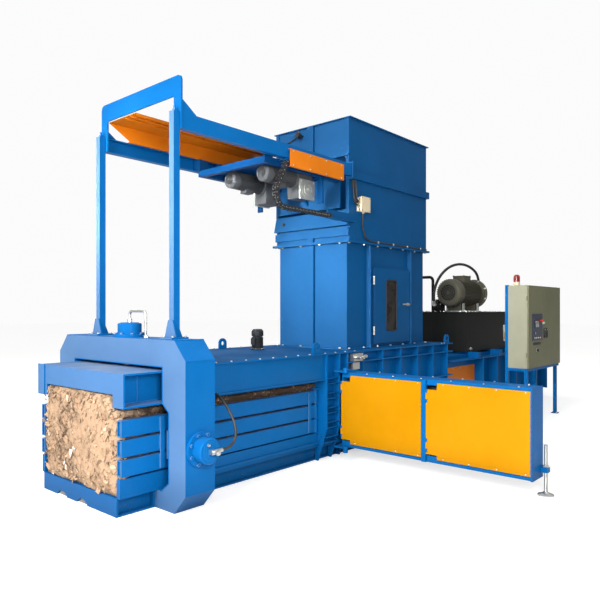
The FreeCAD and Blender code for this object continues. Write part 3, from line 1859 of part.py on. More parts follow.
side_unions = [half for part in side_unions for half in both(part)]
skirt_unions = both(rod("Y", ("-2960", "skirt_out", "856"), "17", "26"))
valve_manifold = [
    block(("-1040", "-880"), ("-rib_half-40", "-wall_half"), ("990", "1070")),
    block(("-1020", "-900"), ("-rib_half-10", "-wall_half"), ("900", "972")),
    rod("Y", ("-1000", "-rib_half-100", "1030"), "20", "60"),
    rod("Y", ("-930", "-rib_half-90", "1030"), "20", "50"),
    rod("X", ("-880", "-rib_half-20", "1030"), "18", "90"),
]
pipe_collar = rod("Z", (ring_mid, "0", "ring_high+jack_cap"), "20", "16")
piece(
    "pipe_fittings",
    shaped(top_pipe),
    pipe_collar,
    *side_unions,
    *skirt_unions,
    *valve_manifold,
)

# --- control cabinet: open shell, mounting plate with modules, doors, panel, switches, stand ------
cab_body = block(
    ("cab_left", "cab_right"),
    ("-cab_front+cab_door", "-cab_back"),
    ("cab_low", "cab_high"),
)
cab_hollow = block(
    ("cab_left+25", "cab_right-25"),
    ("-cab_front+cab_door-1", "-cab_back-20"),
    ("cab_low+25", "cab_high-25"),
)
modules = []
for row, (low, high) in enumerate((("930", "1050"), ("1180", "1330"), ("1460", "1600"))):
    for k in range(4):
        start = f"cab_left+140+{k}*260"
        modules.append(
            block(
                (start, start + f"+{200 - 30 * row}"),
                ("-cab_back-100", "-cab_back-30"),
                (low, high),
            )
        )
mounting = block(
    ("cab_left+60", "cab_right-60"),
    ("-cab_back-30", "-cab_back-20"),
    ("cab_low+60", "cab_high-60"),
)
cab_hinges = []
for x in ("cab_left-9", "cab_right+9"):
    for low in ("cab_low+120", "cab_high-240"):
        for start in (low, low + "+90"):
            cab_hinges.append(knuckle((x, "-cab_front+cab_door"), start, "30", "8"))
piece("control_cabinet", less(cab_body, cab_hollow), mounting, *modules, *cab_hinges)
cab_split = "(cab_left+cab_right)/2"
door_spans = {
    "cabinet_door_left": ("cab_left", cab_split + "-1.5"),
    "cabinet_door_right": (cab_split + "+1.5", "cab_right"),
}
for label, (left, right) in door_spans.items():
    depth = ("-cab_front", "-cab_front+cab_door-pin_play")
    panel = block((left, right), depth, ("cab_low+2", "cab_high-2"))
    x = "cab_left-9" if label.endswith("left") else "cab_right+9"
    reach = ("cab_left-9", "cab_left") if label.endswith("left") else ("cab_right", "cab_right+9")
    barrels = []
    for low in ("cab_low+120", "cab_high-240"):
        start = low + "+30+pin_play"
        barrels.append(knuckle((x, "-cab_front+cab_door"), start, "60-2*pin_play", "8"))
        barrels.append(
            block(
                reach,
                ("-cab_front+cab_door-8", "-cab_front+cab_door-1"),
                (start, start + "+60-2*pin_play"),
            )
        )
    handle_x = cab_split + ("-60" if label.endswith("left") else "+30")
    handle = block((handle_x, handle_x + "+30"), ("-cab_front-14", "-cab_front"), ("1140", "1270"))
    door = fused(panel, *barrels, handle)
    if label.endswith("left"):
        door = less(door, rod("Y", ("cab_left+530", "-cab_front-1", "1350"), "17+pin_play", "11"))
    piece(label, door)
panel_x = "cab_left+129"
control_panel = [
    block((panel_x, panel_x + "+370"), ("-cab_front-8", "-cab_front"), ("1115", "1477")),
    block((panel_x + "+90", panel_x + "+218"), ("-cab_front-13", "-cab_front-8"), ("1290", "1385")),
]
for k in range(5):
    control_panel.append(
        rod("Y", (f"{panel_x}+{50 + 66 * k}", "-cab_front-18", "1150"), "13", "10")
    )
control_panel.append(rod("Y", (panel_x + "+72", "-cab_front-18", "1213"), "13", "10"))
stop_bore = rod("Y", ("cab_left+417", "-cab_front-9", "1381"), "11+pin_play", "10")
piece("control_panel", less(fused(*control_panel), stop_bore))
stop_knob = turned(
    "Y",
    ("cab_left+417", "-cab_front-48", "1381"),
    ("0", "0"),
    ("16", "0"),
    ("21", "6"),
    ("21", "16"),
    ("11", "22"),
    ("11", "39.7"),
    ("0", "39.7"),
)
piece("stop_button", stop_knob)
start_knob = turned(
    "Y",
    ("cab_left+530", "-cab_front-26", "1350"),
    ("0", "0"),
    ("14", "0"),
    ("17", "4"),
    ("17", "25.7"),
    ("0", "25.7"),
)
piece("start_button", start_knob)
selector = rod("Y", ("cab_left+302", "-cab_front-12", "977"), "17", "11.7")
selector_grip = block(
    ("cab_left+297", "cab_left+307"),
    ("-cab_front-30", "-cab_front-12"),
    ("959", "995"),
)
piece("selector_switch", selector, selector_grip)
stand_posts = [
    block((x, x + "+44"), span, ("0", high))
    for x, span, high in (
        ("cab_left", ("-cab_back", "-cab_back+44"), "cab_high+8"),
        ("cab_left+1040", ("-cab_back", "-cab_back+44"), "cab_high+8"),
        ("cab_left", ("-cab_front+20", "-cab_front+64"), "cab_low-40"),
        ("cab_left+1137", ("-cab_front+20", "-cab_front+64"), "cab_low-40"),
    )
]
stand_bars = [
    block(("cab_left", "cab_right"), span, ("cab_low-40", "cab_low"))
    for span in (("-cab_front+20", "-cab_front+64"), ("-cab_back-44", "-cab_back"))
]
for x in ("cab_left", "cab_left+1040"):
    stand_bars.append(
        block((x + "+2", x + "+42"), ("-cab_front+64", "-cab_back"), ("cab_low-38", "cab_low"))
    )
for x, y in (
    ("cab_left+22", "-cab_back+22"),
    ("cab_left+1062", "-cab_back+22"),
    ("cab_left+22", "-cab_front+42"),
    ("cab_left+1159", "-cab_front+42"),
):
    stand_bars.append(block((x + "-45", x + "+45"), (y + "-45", y + "+45"), ("0", "10")))
piece("cabinet_stand", *stand_posts, *stand_bars)
beacon = turned(
    "Z",
    ("cab_left+72", "-1300", "cab_high"),
    ("0", "0"),
    ("46", "0"),
    ("46", "52"),
    ("42", "56"),
    ("42", "118"),
    ("34", "140"),
    ("18", "150"),
    ("0", "150"),
)
piece("beacon", beacon)

# --- check every object, then write one file for each piece ---------------------------------------
doc.recompute()
broken = [o.Name for o in doc.Objects if "Invalid" in o.State or "Error" in o.State]
if broken:
    raise RuntimeError(f"failed objects: {broken}")
os.makedirs("parts", exist_ok=True)
for thing in pieces:
    shape = thing.Shape
    if shape.isNull() or not shape.isValid() or not shape.Solids:
        raise RuntimeError(f"{thing.Label} has no sound shape")
    shape.exportStep(f"parts/{thing.Label}.step")
print(len(pieces), "pieces")
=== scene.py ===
import random
from math import cos, pi, radians, sin

import bmesh
import bpy
from mathutils import Euler, Matrix, Vector, noise


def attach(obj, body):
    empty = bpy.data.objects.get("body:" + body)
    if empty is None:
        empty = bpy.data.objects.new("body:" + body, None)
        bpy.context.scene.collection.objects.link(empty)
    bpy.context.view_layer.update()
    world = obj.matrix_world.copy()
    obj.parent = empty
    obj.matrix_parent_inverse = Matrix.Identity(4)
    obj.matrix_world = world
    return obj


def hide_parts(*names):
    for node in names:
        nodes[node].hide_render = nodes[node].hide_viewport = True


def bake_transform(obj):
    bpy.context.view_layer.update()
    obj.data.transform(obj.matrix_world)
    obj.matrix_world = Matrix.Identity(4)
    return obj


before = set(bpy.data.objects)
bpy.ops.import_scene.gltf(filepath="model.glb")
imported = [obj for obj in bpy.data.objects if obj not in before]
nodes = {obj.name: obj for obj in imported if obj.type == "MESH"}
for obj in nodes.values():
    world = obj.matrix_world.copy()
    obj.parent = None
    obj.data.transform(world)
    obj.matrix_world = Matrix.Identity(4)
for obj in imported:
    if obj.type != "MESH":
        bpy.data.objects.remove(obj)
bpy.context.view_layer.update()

# --- Viewpoint ---
# About eye height above the floor, beyond the bale outlet and off the needle box's side, with the
# far end of the machine running away to the right.
viewpoint = bpy.data.objects.new("viewpoint", bpy.data.cameras.new("viewpoint"))
viewpoint.data.sensor_width = 36
viewpoint.data.lens = 36
viewpoint.data.shift_y = 10 / 600
viewpoint.data.clip_end = 200
viewpoint.location = (-6.145, -4.488, 1.530)
viewpoint.rotation_euler = (radians(90), 0, radians(-48.7))
bpy.context.scene.collection.objects.link(viewpoint)
bpy.context.scene.camera = viewpoint


# --- Side jack hoses and pump hose ---
# Rubber pressure hoses with a woven cover: one from each side jack up to the roof's skirt, one from
# the valve block over the motor to the pump.  Each is crimped into a plated steel ferrule.
class Spread:
    """A value or colour that varies over a surface; arithmetic on it adds the nodes it needs."""

    def __init__(self, maker, socket):
        self.maker = maker
        self.socket = socket

    def sum(self, operation, *terms, clamp=False):
        return self.maker.sum(operation, *terms, clamp=clamp)

    def __add__(self, other):
        return self.sum("ADD", self, other)

    def __sub__(self, other):
        return self.sum("SUBTRACT", self, other)

    def __rsub__(self, other):
        return self.sum("SUBTRACT", other, self)

    def __mul__(self, other):
        return self.sum("MULTIPLY", self, other)

    __radd__ = __add__
    __rmul__ = __mul__

    def held(self):
        """Kept between 0 and 1."""
        return self.sum("ADD", self, 0.0, clamp=True)

    def ramp(self, low, high):
        """0 up to low, 1 from high on, straight between them."""
        return self.sum("MULTIPLY", self - low, 1 / (high - low), clamp=True)


class Maker:
    """Adds nodes to one tree, of a material or of a pattern."""

    def feed(self, socket, value):
        if isinstance(value, Spread):
            self.tree.links.new(value.socket, socket)
        else:
            socket.default_value = value

    def node(self, kind, settings=(), sockets=(), out=0):
        """Any node: its settings first, then the values or links of its sockets."""
        node = self.tree.nodes.new(kind)
        for key, value in dict(settings).items():
            if key == "stops":
                ramp = node.color_ramp
                while len(ramp.elements) < len(value):
                    ramp.elements.new(0.5)
                for element, (place, colour) in zip(ramp.elements, value):
                    element.position = place
                    element.color = (*colour, 1)
            else:
                setattr(node, key, value)
        for key, value in dict(sockets).items():
            self.feed(node.inputs[key], value)
        return Spread(self, node.outputs[out])

    def sum(self, operation, *terms, clamp=False):
        settings = {"operation": operation, "use_clamp": clamp}
        return self.node("ShaderNodeMath", settings, dict(enumerate(terms)))


class Finish(Maker):
    """The paint, plating, rubber or plastic of some pieces."""

    def __init__(self, name, colour, rough, metal=0.0, coat=0.0):
        self.material = bpy.data.materials.new(name)
        self.material.use_nodes = True
        self.tree = self.material.node_tree
        self.shader = self.tree.nodes["Principled BSDF"]
        self.where = None
        self.set("Base Color", (*colour, 1))
        self.set("Roughness", rough)
        self.set("Metallic", metal)
        self.set("Coat Weight", coat)
        self.set("Coat Roughness", 0.15)

    def set(self, name, value):
        self.feed(self.shader.inputs[name], value)

    def at(self, scale=(1, 1, 1)):
        """A point's place on the machine, stretched by a scale along each axis."""
        if self.where is None:
            self.where = self.node("ShaderNodeTexCoord", out=3)
        sockets = {"Vector": self.where, "Scale": scale}
        return self.node("ShaderNodeMapping", (), sockets)

    def cloud(self, scale, detail=3.0, stretch=(1, 1, 1)):
        """Soft random patches between 0 and 1."""
        sockets = {"Vector": self.at(stretch), "Scale": scale, "Detail": detail, "Roughness": 0.6}
        return self.node("ShaderNodeTexNoise", (), sockets)

    def colours(self, share, first, second):
        """One colour turning into another as share goes from 0 to 1."""
        sockets = {0: share}
        for index, colour in ((6, first), (7, second)):
            sockets[index] = colour if isinstance(colour, Spread) else (*colour, 1)
        return self.node("ShaderNodeMix", {"data_type": "RGBA"}, sockets, out=2)

    def mottled(self, patches, dark, light, rough=None):
        """Two colours in patches; rough is the first one's roughness and what the second adds."""
        self.set("Base Color", self.colours(patches, dark, light))
        if rough:
            self.set("Roughness", rough[0] + patches * rough[1])

    def relief(self, height, depth, strength=1.0):
        """Raised and sunken detail, depth metres high."""
        sockets = {"Height": height, "Distance": depth, "Strength": strength}
        self.set("Normal", self.node("ShaderNodeBump", (), sockets))

    def facing(self, axis):
        """1 on a surface that faces along X, Y or Z (0, 1 or 2), 0 on a side, -1 at the back."""
        normal = self.node("ShaderNodeNewGeometry", out=1)
        return self.node("ShaderNodeSeparateXYZ", (), {0: normal}, out=axis)

    def height(self):
        """Metres above the floor."""
        return self.node("ShaderNodeSeparateXYZ", (), {0: self.at()}, out=2)


FACING = {
    "+X": (0, pi / 2, 0),
    "-X": (0, -pi / 2, 0),
    "+Y": (-pi / 2, 0, 0),
    "-Y": (pi / 2, 0, 0),
    "+Z": (0, 0, 0),
    "-Z": (pi, 0, 0),
}


def band(shape, first, second):
    """A closed band of faces between two rings of as many points."""
    for k in range(len(first)):
        n = (k + 1) % len(first)
        shape.faces.new((first[k], first[n], second[n], second[k]))


def mounted(thing, body, replaces=()):
    """Smooth an object, let it ride on a body and stand for some of the frame's nodes."""
    thing.data.shade_smooth()
    thing.data.set_sharp_from_angle(angle=radians(38))
    if body is not None:
        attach(thing, body)
    if replaces:
        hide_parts(*replaces)
    return thing


class Workpiece:
    """A piece that is built up shape by shape, in metres, each shape with its finish."""

    def __init__(self, name):
        self.name = name
        self.mesh = bmesh.new()
        self.finishes = []

    def add(self, shape, finish):
        """Join one closed shape to the piece."""
        if finish not in self.finishes:
            self.finishes.append(finish)
        index = self.finishes.index(finish)
        for face in shape.faces:
            face.material_index = index
        carrier = bpy.data.meshes.new("shape")
        shape.to_mesh(carrier)
        shape.free()
        self.mesh.from_mesh(carrier)
        bpy.data.meshes.remove(carrier)

    def box(self, low, high, finish, edge, turn=None):
        """A bar or plate between opposite corners, with rounded edges; turn is (matrix, centre)."""
        shape = bmesh.new()
        size = [abs(b - a) for a, b in zip(low, high)]
        middle = [(a + b) / 2 for a, b in zip(low, high)]
        place = Matrix.Translation(middle) @ Matrix.Diagonal((*size, 1))
        bmesh.ops.create_cube(shape, size=1, matrix=place)
        edge = min(edge, 0.45 * min(size))
        bmesh.ops.bevel(
            shape, geom=shape.edges[:], offset=edge, segments=2, profile=0.6, affect="EDGES"
        )
        if turn is not None:
            bmesh.ops.rotate(shape, verts=shape.verts[:], cent=turn[1], matrix=turn[0])
        self.add(shape, finish)

    def turned(self, way, at, profile, finish, sides=32):
        """A lathe shape: profile is (radius, distance along the axis) from one pole to the other.

        Its axis lies along way, a key of FACING or a matrix.  A profile that ends where it began
        gives a ring with a bore."""
        shape = bmesh.new()
        rings = []
        for radius, along in profile:
            if radius < 1e-6:
                rings.append([shape.verts.new((0, 0, along))])
                continue
            ring = []
            for k in range(sides):
                angle = 2 * pi * (k + 0.5) / sides
                spot = (radius * cos(angle), radius * sin(angle), along)
                ring.append(shape.verts.new(spot))
            rings.append(ring)
        bored = profile[0] == profile[-1]
        if bored:
            bmesh.ops.delete(shape, geom=rings[-1], context="VERTS")
            rings[-1] = rings[0]
        for first, second in zip(rings, rings[1:]):
            for k in range(sides):
                loop = [first[k % len(first)], first[(k + 1) % len(first)]]
                loop += [second[(k + 1) % len(second)], second[k % len(second)]]
                corners = list(dict.fromkeys(loop))
                if len(corners) > 2:
                    shape.faces.new(corners)
        for ring in (rings[0], rings[-1]):
            if len(ring) > 1 and not bored:
                shape.faces.new(ring)
        bmesh.ops.recalc_face_normals(shape, faces=shape.faces[:])
        if isinstance(way, str):
            way = Euler(FACING[way]).to_matrix()
        place = Matrix.Translation(at) @ way.to_4x4()
        bmesh.ops.transform(shape, matrix=place, verts=shape.verts[:])
        self.add(shape, finish)

    def tube(self, points, radius, finish, sides, smooth=4):
        """A round cable or pipe through some points, in a smooth line between them."""
        spots = [Vector(p) for p in points]
        line = []
        for i in range(len(spots) - 1):
            before = spots[max(i - 1, 0)]
            after = spots[min(i + 2, len(spots) - 1)]
            for k in range(smooth):
                t = k / smooth
                a, b = spots[i], spots[i + 1]
                pull = (b - before) * 0.5
                push = (after - a) * 0.5
                spot = a * (2 * t**3 - 3 * t**2 + 1) + b * (3 * t**2 - 2 * t**3)
                line.append(spot + pull * (t**3 - 2 * t**2 + t) + push * (t**3 - t**2))
        line.append(spots[-1])
        shape = bmesh.new()
        side = None
        rings = []
        for i, spot in enumerate(line):
            along = (line[min(i + 1, len(line) - 1)] - line[max(i - 1, 0)]).normalized()
            if side is None:
                side = along.orthogonal()
            side = (side - along * side.dot(along)).normalized()
            other = along.cross(side)
            ring = []
            for k in range(sides):
                angle = 2 * pi * k / sides
                out = side * cos(angle) + other * sin(angle)
                ring.append(shape.verts.new(spot + out * radius))
            rings.append(ring)
        for first, second in zip(rings, rings[1:]):
            band(shape, first, second)
        shape.faces.new(list(reversed(rings[0])))
        shape.faces.new(rings[-1])
        bmesh.ops.recalc_face_normals(shape, faces=shape.faces[:])
        self.add(shape, finish)

    def placed(self, body, slot, replaces=()):
        """The finished object: it rides on a body and may stand for some of the frame's nodes."""
        mesh = bpy.data.meshes.new(self.name)
        self.mesh.to_mesh(mesh)
        self.mesh.free()
        for finish in self.finishes:
            mesh.materials.append(finish.material)
        thing = bpy.data.objects.new(self.name, mesh)
        bpy.context.scene.collection.objects.link(thing)
        return mounted(thing, body, replaces)


hose_rubber = Finish("hose_rubber", (0.03, 0.03, 0.032), 0.55)
threads = {"Vector": hose_rubber.at(), "Scale": 420.0}
weave = hose_rubber.node("ShaderNodeTexVoronoi", {"feature": "F1"}, threads)
dust = hose_rubber.cloud(14.0).ramp(0.45, 0.75) * 0.35
hose_rubber.mottled(dust, (0.014, 0.014, 0.015), (0.07, 0.066, 0.06), (0.45, 0.6))
hose_rubber.relief(weave, 0.0006, 0.6)

plated_steel = Finish("plated_steel", (0.62, 0.62, 0.60), 0.32, metal=1.0)
spots = plated_steel.cloud(38.0)
plated_steel.mottled(spots, (0.42, 0.42, 0.40), (0.74, 0.73, 0.70), (0.22, 0.3))

pump_route = [
    (1.909, -0.084, 1.600),
    (1.862, -0.096, 1.704),
    (1.851, -0.112, 1.814),
    (1.878, -0.130, 1.922),
    (1.940, -0.150, 2.022),
    (2.034, -0.172, 2.108),
    (2.155, -0.194, 2.176),
    (2.296, -0.214, 2.220),
    (2.447, -0.232, 2.239),
    (2.600, -0.250, 2.232),
    (2.746, -0.266, 2.198),
    (2.876, -0.280, 2.140),
    (2.929, -0.286, 2.087),
    (2.966, -0.289, 2.022),
    (2.986, -0.290, 1.950),
    (2.986, -0.290, 1.8903),
]
side_route = [
    (-3.1903, -1.085, 0.483),
    (-3.105, -1.085, 0.483),
    (-3.022, -1.071, 0.512),
    (-2.968, -1.040, 0.580),
    (-2.952, -0.995, 0.661),
    (-2.953, -0.935, 0.741),
    (-2.957, -0.869, 0.811),
    (-2.960, -0.795, 0.856),
    (-2.960, -0.7203, 0.856),
]


def laid_hose(name, route, radius, node):
    """One hose between its two unions, with a crimped ferrule at each end."""
    line = bpy.data.curves.new(name, "CURVE")
    line.dimensions = "3D"
    line.bevel_depth = radius
    line.bevel_resolution = 6
    line.use_fill_caps = True
    line.resolution_u = 10
    spline = line.splines.new("NURBS")
    spline.points.add(len(route) - 1)
    for point, spot in zip(spline.points, route):
        point.co = (*spot, 1)
    spline.order_u = 3
    spline.use_endpoint_u = True
    line.materials.append(hose_rubber.material)
    hose = bpy.data.objects.new(name, line)
    bpy.context.scene.collection.objects.link(hose)
    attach(hose, "machine")
    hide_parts(node)
    ends = Workpiece(name + "_ferrules")
    crimp = [(radius * 0.9, 0)]
    for k in range(5):
        crimp += [(radius * 1.32, 0.2 * k + 0.03), (radius * 1.32, 0.2 * k + 0.13)]
        crimp += [(radius * 1.2, 0.2 * k + 0.16)]
    crimp.append((radius * 0.9, 1.0))
    crimp = [(r, h * radius * 3.6 if i else 0) for i, (r, h) in enumerate(crimp)]
    nut = [(radius * 0.8, -radius * 0.2), (radius * 1.5, 0), (radius * 1.5, radius * 1.1)]
    nut.append((radius * 0.8, radius * 1.3))
    for start, towards in ((route[0], route[1]), (route[-1], route[-2])):
        way = (Vector(towards) - Vector(start)).to_track_quat("Z", "Y").to_matrix()
        ends.turned(way, start, crimp, plated_steel, 20)
        ends.turned(way, start, nut, plated_steel, 6)
    ends.placed("machine", "bright_steel")


jack_hose_radius, jack_hose_length = 0.011, 0.711
far_route = [(x, -y, z) for x, y, z in side_route]
laid_hose("pump_pressure_hose", pump_route, 0.020, "pump_hose")
laid_hose("near_jack_hose", side_route, jack_hose_radius, "side_hose_near")
laid_hose("far_jack_hose", far_route, jack_hose_radius, "side_hose_far")

# --- Floor and light ---
# A plain pale floor that runs out of sight.  A bright even sky lights the machine from overhead, and
# four large soft lamps light its outlet, its near side, the tower's front and its back.
floor_paint = Finish("pale_floor", (0.62, 0.62, 0.62), 0.75)
floor_paint.mottled(floor_paint.cloud(0.35, 4.0), (0.60, 0.60, 0.60), (0.65, 0.65, 0.64))
glow = floor_paint.colours(floor_paint.node("ShaderNodeLightPath"), (0, 0, 0), (0.52, 0.52, 0.52))
floor_paint.set("Emission Color", glow)
floor_paint.set("Emission Strength", 1.0)
floor = Workpiece("floor")
sheet = bmesh.new()
bmesh.ops.create_grid(sheet, x_segments=2, y_segments=2, size=60)
floor.add(sheet, floor_paint)
floor.placed(None, None)


class Studio(Maker):
    """A white backdrop, with the light that falls on the machine brightest from overhead."""

    def __init__(self, backdrop, level, overhead):
        self.world = bpy.data.worlds.new("studio")
        self.world.use_nodes = True
        self.tree = self.world.node_tree
        way = self.node("ShaderNodeTexCoord", out=0)
        up = self.node("ShaderNodeSeparateXYZ", (), {0: way}, out=2)
        falling = level + up.held() * (overhead - level)
        seen = self.node("ShaderNodeLightPath")
        strength = falling + seen * (backdrop - falling)
        self.feed(self.tree.nodes["Background"].inputs["Strength"], strength)
        self.tree.nodes["Background"].inputs["Color"].default_value = (1, 1, 1, 1)


bpy.context.scene.world = Studio(backdrop=0.97, level=0.14, overhead=0.95).world
bpy.context.scene.view_settings.view_transform = "Standard"


def lamp(name, at, towards, size, power, spread=180):
    """A large soft lamp that faces a point; a grid in front of it may narrow its beam, in degrees."""
    light = bpy.data.lights.new(name, "AREA")
    light.size = size
    light.energy = power
    light.spread = radians(spread)
    holder = bpy.data.objects.new(name, light)
    holder.location = at
    way = Vector(towards) - Vector(at)
    holder.rotation_euler = way.to_track_quat("-Z", "Y").to_euler()
    bpy.context.scene.collection.objects.link(holder)


lamp("key_lamp", (-10.5, -2.0, 5.5), (-2.5, 0, 0.8), 5.0, 1380)
lamp("side_lamp", (-5.4, -4.8, 2.3), (-3.4, -0.8, 0.5), 1.6, 250)
lamp("tower_lamp", (-6.2, 0.3, 2.8), (-0.9, 0, 2.25), 1.0, 20, spread=32)
lamp("back_lamp", (3.0, 9.0, 8.0), (0.0, 0, 1.5), 7.0, 350)

# --- Bed frame ---
# A welded box of channel sections that carries the whole machine, in blue enamel that is scuffed
# near the floor and dusty where it faces up.  Grey backing fills two rounded notches in its front.
def painted(
    name, colour, dusty, worn=0.35, rough=0.3, ripple=0, outlet=0, dust=(0.3, 0.33, 0.35)
):
    """Sprayed enamel on steel plate, dusty on its level faces, with painted shade low down
    and a pale painted sheen on the faces towards the outlet.
    """
    paint = Finish(name, colour, rough, coat=0.06)
    paint.set("Specular IOR Level", 0.12)
    paint.set("Specular Tint", (*(0.3 + 0.7 * c / max(colour) for c in colour), 1))
    patch = paint.cloud(1.6, 4.0)
    grain = paint.cloud(55.0, 4.0)
    streak = paint.cloud(3.0, 3.0, stretch=(9, 9, 0.7))
    dark = tuple(c * 0.90 for c in colour)
    light = tuple(min(1, c * 1.06 + 0.002) for c in colour)
    base = paint.colours(patch.ramp(0.3, 0.7), dark, light)
    film = (streak.ramp(0.52, 0.8) * 0.06).held()
    base = paint.colours(film, base, tuple(0.7 * c + 0.05 for c in colour))
    # Level faces take the dust colour; a dark dust colour, as on the roof, is painted shade.
    level = paint.facing(2).ramp(0.6, 0.95)
    settled = level * patch.ramp(0.2, 0.75) * dusty
    base = paint.colours(settled, base, dust)
    # Faces towards the outlet (-X) turn pale, in a paper-dust colour: a painted sheen.
    if outlet:
        front_sheen = (0 - paint.facing(0)).ramp(0.6, 0.95) * (0.8 + patch * 0.4) * outlet
        base = paint.colours(front_sheen, base, (0.44, 0.44, 0.27))
    # The lowest third of a metre is darkened towards the floor: painted shade.
    low = 1 - paint.height().ramp(0.02, 0.34)
    base = paint.colours(low * 0.5, base, tuple(0.35 * c for c in colour))
    scuffs = grain.ramp(0.6, 0.68) * low * worn
    base = paint.colours(scuffs, base, (0.10, 0.085, 0.075))
    paint.set("Base Color", base)
    rising = patch * 0.12 + level * 0.3 + settled * 0.6 + scuffs * 0.5
    paint.set("Roughness", (rough + rising).held())
    skin = grain * 0.5 + paint.cloud(420.0, 1.0)
    if ripple:
        skin = skin + paint.cloud(2.4, 2.0, stretch=(2.4, 2.4, 0.3)) * ripple
    paint.relief(skin, 0.0004, 0.35)
    return paint


def coat(finish, *names):
    """Put a finish on nodes of the frame."""
    for name in names:
        node = nodes[name]
        if not node.material_slots:
            node.data.materials.append(finish.material)
        for holder in node.material_slots:
            holder.material = finish.material


blue = painted("blue_enamel", (0.0008, 0.100, 0.31), dusty=0.03)
coat(blue, "bed_frame")


class Pattern(Maker):
    """A tree that repeats a small part along points or edges, with named sizes."""

    def __init__(self, name, sizes):
        self.tree = bpy.data.node_groups.new(name, "GeometryNodeTree")
        face = self.tree.interface
        face.new_socket("Geometry", in_out="OUTPUT", socket_type="NodeSocketGeometry")
        face.new_socket("Geometry", in_out="INPUT", socket_type="NodeSocketGeometry")
        self.sizes = sizes
        self.keys = {}
        for label, value in sizes.items():
            kind = "NodeSocketInt" if isinstance(value, int) else "NodeSocketFloat"
            kind = "NodeSocketVector" if hasattr(value, "__len__") else kind
            socket = face.new_socket(label, in_out="INPUT", socket_type=kind)
            self.keys[label] = socket.identifier
        self.entry = self.tree.nodes.new("NodeGroupInput")

    def given(self, label="Geometry"):
        return Spread(self, self.entry.outputs[label])

    def rod(self, sides, radius, length):
        """A cylinder or prism along Z."""
        sockets = {"Vertices": sides, "Radius": radius, "Depth": length}
        return self.node("GeometryNodeMeshCylinder", (), sockets)

    def vector(self, x=0.0, y=0.0, z=0.0):
        return self.node("ShaderNodeCombineXYZ", (), {0: x, 1: y, 2: z})

    def copies(self, points, part, angles, scale=(1, 1, 1)):
        """A part at every point, turned by its angles about X, Y and Z."""
        turn = self.node("FunctionNodeEulerToRotation", (), {0: angles})
        sockets = {"Points": points, "Instance": part, "Rotation": turn, "Scale": scale}
        return self.node("GeometryNodeInstanceOnPoints", (), sockets)

    def moved(self, shape, x=0.0, y=0.0, z=0.0):
        place = self.vector(x, y, z)
        return self.node("GeometryNodeTransform", (), {"Geometry": shape, "Translation": place})

    def joined(self, *shapes):
        node = self.tree.nodes.new("GeometryNodeJoinGeometry")
        for shape in shapes:
            self.tree.links.new(shape.socket, node.inputs[0])
        return Spread(self, node.outputs[0])

    def made(self, name, shape, finish, marks, body=None, slot=None):
        """Run the tree on some marks and keep the result as one plain mesh."""
        shape = self.node("GeometryNodeRealizeInstances", (), {0: shape})
        sockets = {"Geometry": shape, "Material": finish.material}
        shape = self.node("GeometryNodeSetMaterial", (), sockets)
        out = self.tree.nodes.new("NodeGroupOutput")
        self.tree.links.new(shape.socket, out.inputs[0])
        thing = bpy.data.objects.new(name, marks)
        bpy.context.scene.collection.objects.link(thing)
        step = thing.modifiers.new("pattern", "NODES")
        step.node_group = self.tree
        for label, value in self.sizes.items():
            step[self.keys[label]] = value
        seen = thing.evaluated_get(bpy.context.evaluated_depsgraph_get())
        mesh = bpy.data.meshes.new_from_object(seen)
        thing.modifiers.remove(step)
        thing.data = mesh
        return mounted(thing, body)


def welds(name, lines, finish, size=0.006, body="machine"):
    """Rippled fillet beads along straight seams."""
    spots = [spot for line in lines for spot in line]
    mesh = bpy.data.meshes.new(name)
    mesh.from_pydata(spots, [(2 * i, 2 * i + 1) for i in range(len(lines))], [])
    plan = Pattern(name, {"Bead size": size, "Ripple length": size * 1.3})
    path = plan.node("GeometryNodeMeshToCurve", (), {0: plan.given()})
    sockets = {"Curve": path, "Length": plan.given("Ripple length")}
    path = plan.node("GeometryNodeResampleCurve", {"mode": "LENGTH"}, sockets)
    index = plan.node("GeometryNodeInputIndex")
    ripple = 0.8 + plan.sum("MODULO", index, 2.0) * 0.25
    bead = {"Resolution": 8, "Radius": plan.given("Bead size")}
    ring = plan.node("GeometryNodeCurvePrimitiveCircle", (), bead)
    sockets = {"Curve": path, "Radius": ripple}
    path = plan.node("GeometryNodeSetCurveRadius", (), sockets)
    sockets = {"Curve": path, "Profile Curve": ring, "Scale": ripple, "Fill Caps": True}
    bead = plan.node("GeometryNodeCurveToMesh", (), sockets)
    return plan.made(name, bead, finish, mesh, body, "blue_paint")


bed_seams = [((-3.388, y, 0.144), (-3.722, y, 0.144)) for y in (-0.567, 0.567)]
for x in (-3.101, -1.452, -1.238, -1.098):
    bed_seams += [((x, y, 0.145), (x, y * 1.24, 0.325)) for y in (-0.569, 0.569)]
welds("bed_seam_welds", bed_seams, blue)
notch_grey = Finish("notch_backing", (0.16, 0.16, 0.15), 0.9)
notch_grey.relief(notch_grey.cloud(60.0), 0.002)
notch_grey.mottled(notch_grey.cloud(18.0), (0.08, 0.08, 0.08), (0.26, 0.26, 0.25))
notch_radius, notch_sink, notch_steps = 0.098, 0.058, 16
packers = Workpiece("bed_notch_backing")
for y in (-0.07, 0.25):
    segment = bmesh.new()
    arcs = []
    for x in (-3.7068, -3.7048):
        arc = []
        for k in range(notch_steps + 1):
            angle = radians(-53 + 106 * k / notch_steps)
            z = max(0.0, notch_radius * cos(angle) - notch_sink)
            arc.append(segment.verts.new((x, y + notch_radius * sin(angle), z)))
        segment.faces.new(arc)
        arcs.append(arc)
    band(segment, *arcs)
    bmesh.ops.recalc_face_normals(segment, faces=segment.faces[:])
    packers.add(segment, notch_grey)
packers.placed("machine", "dark_steel")
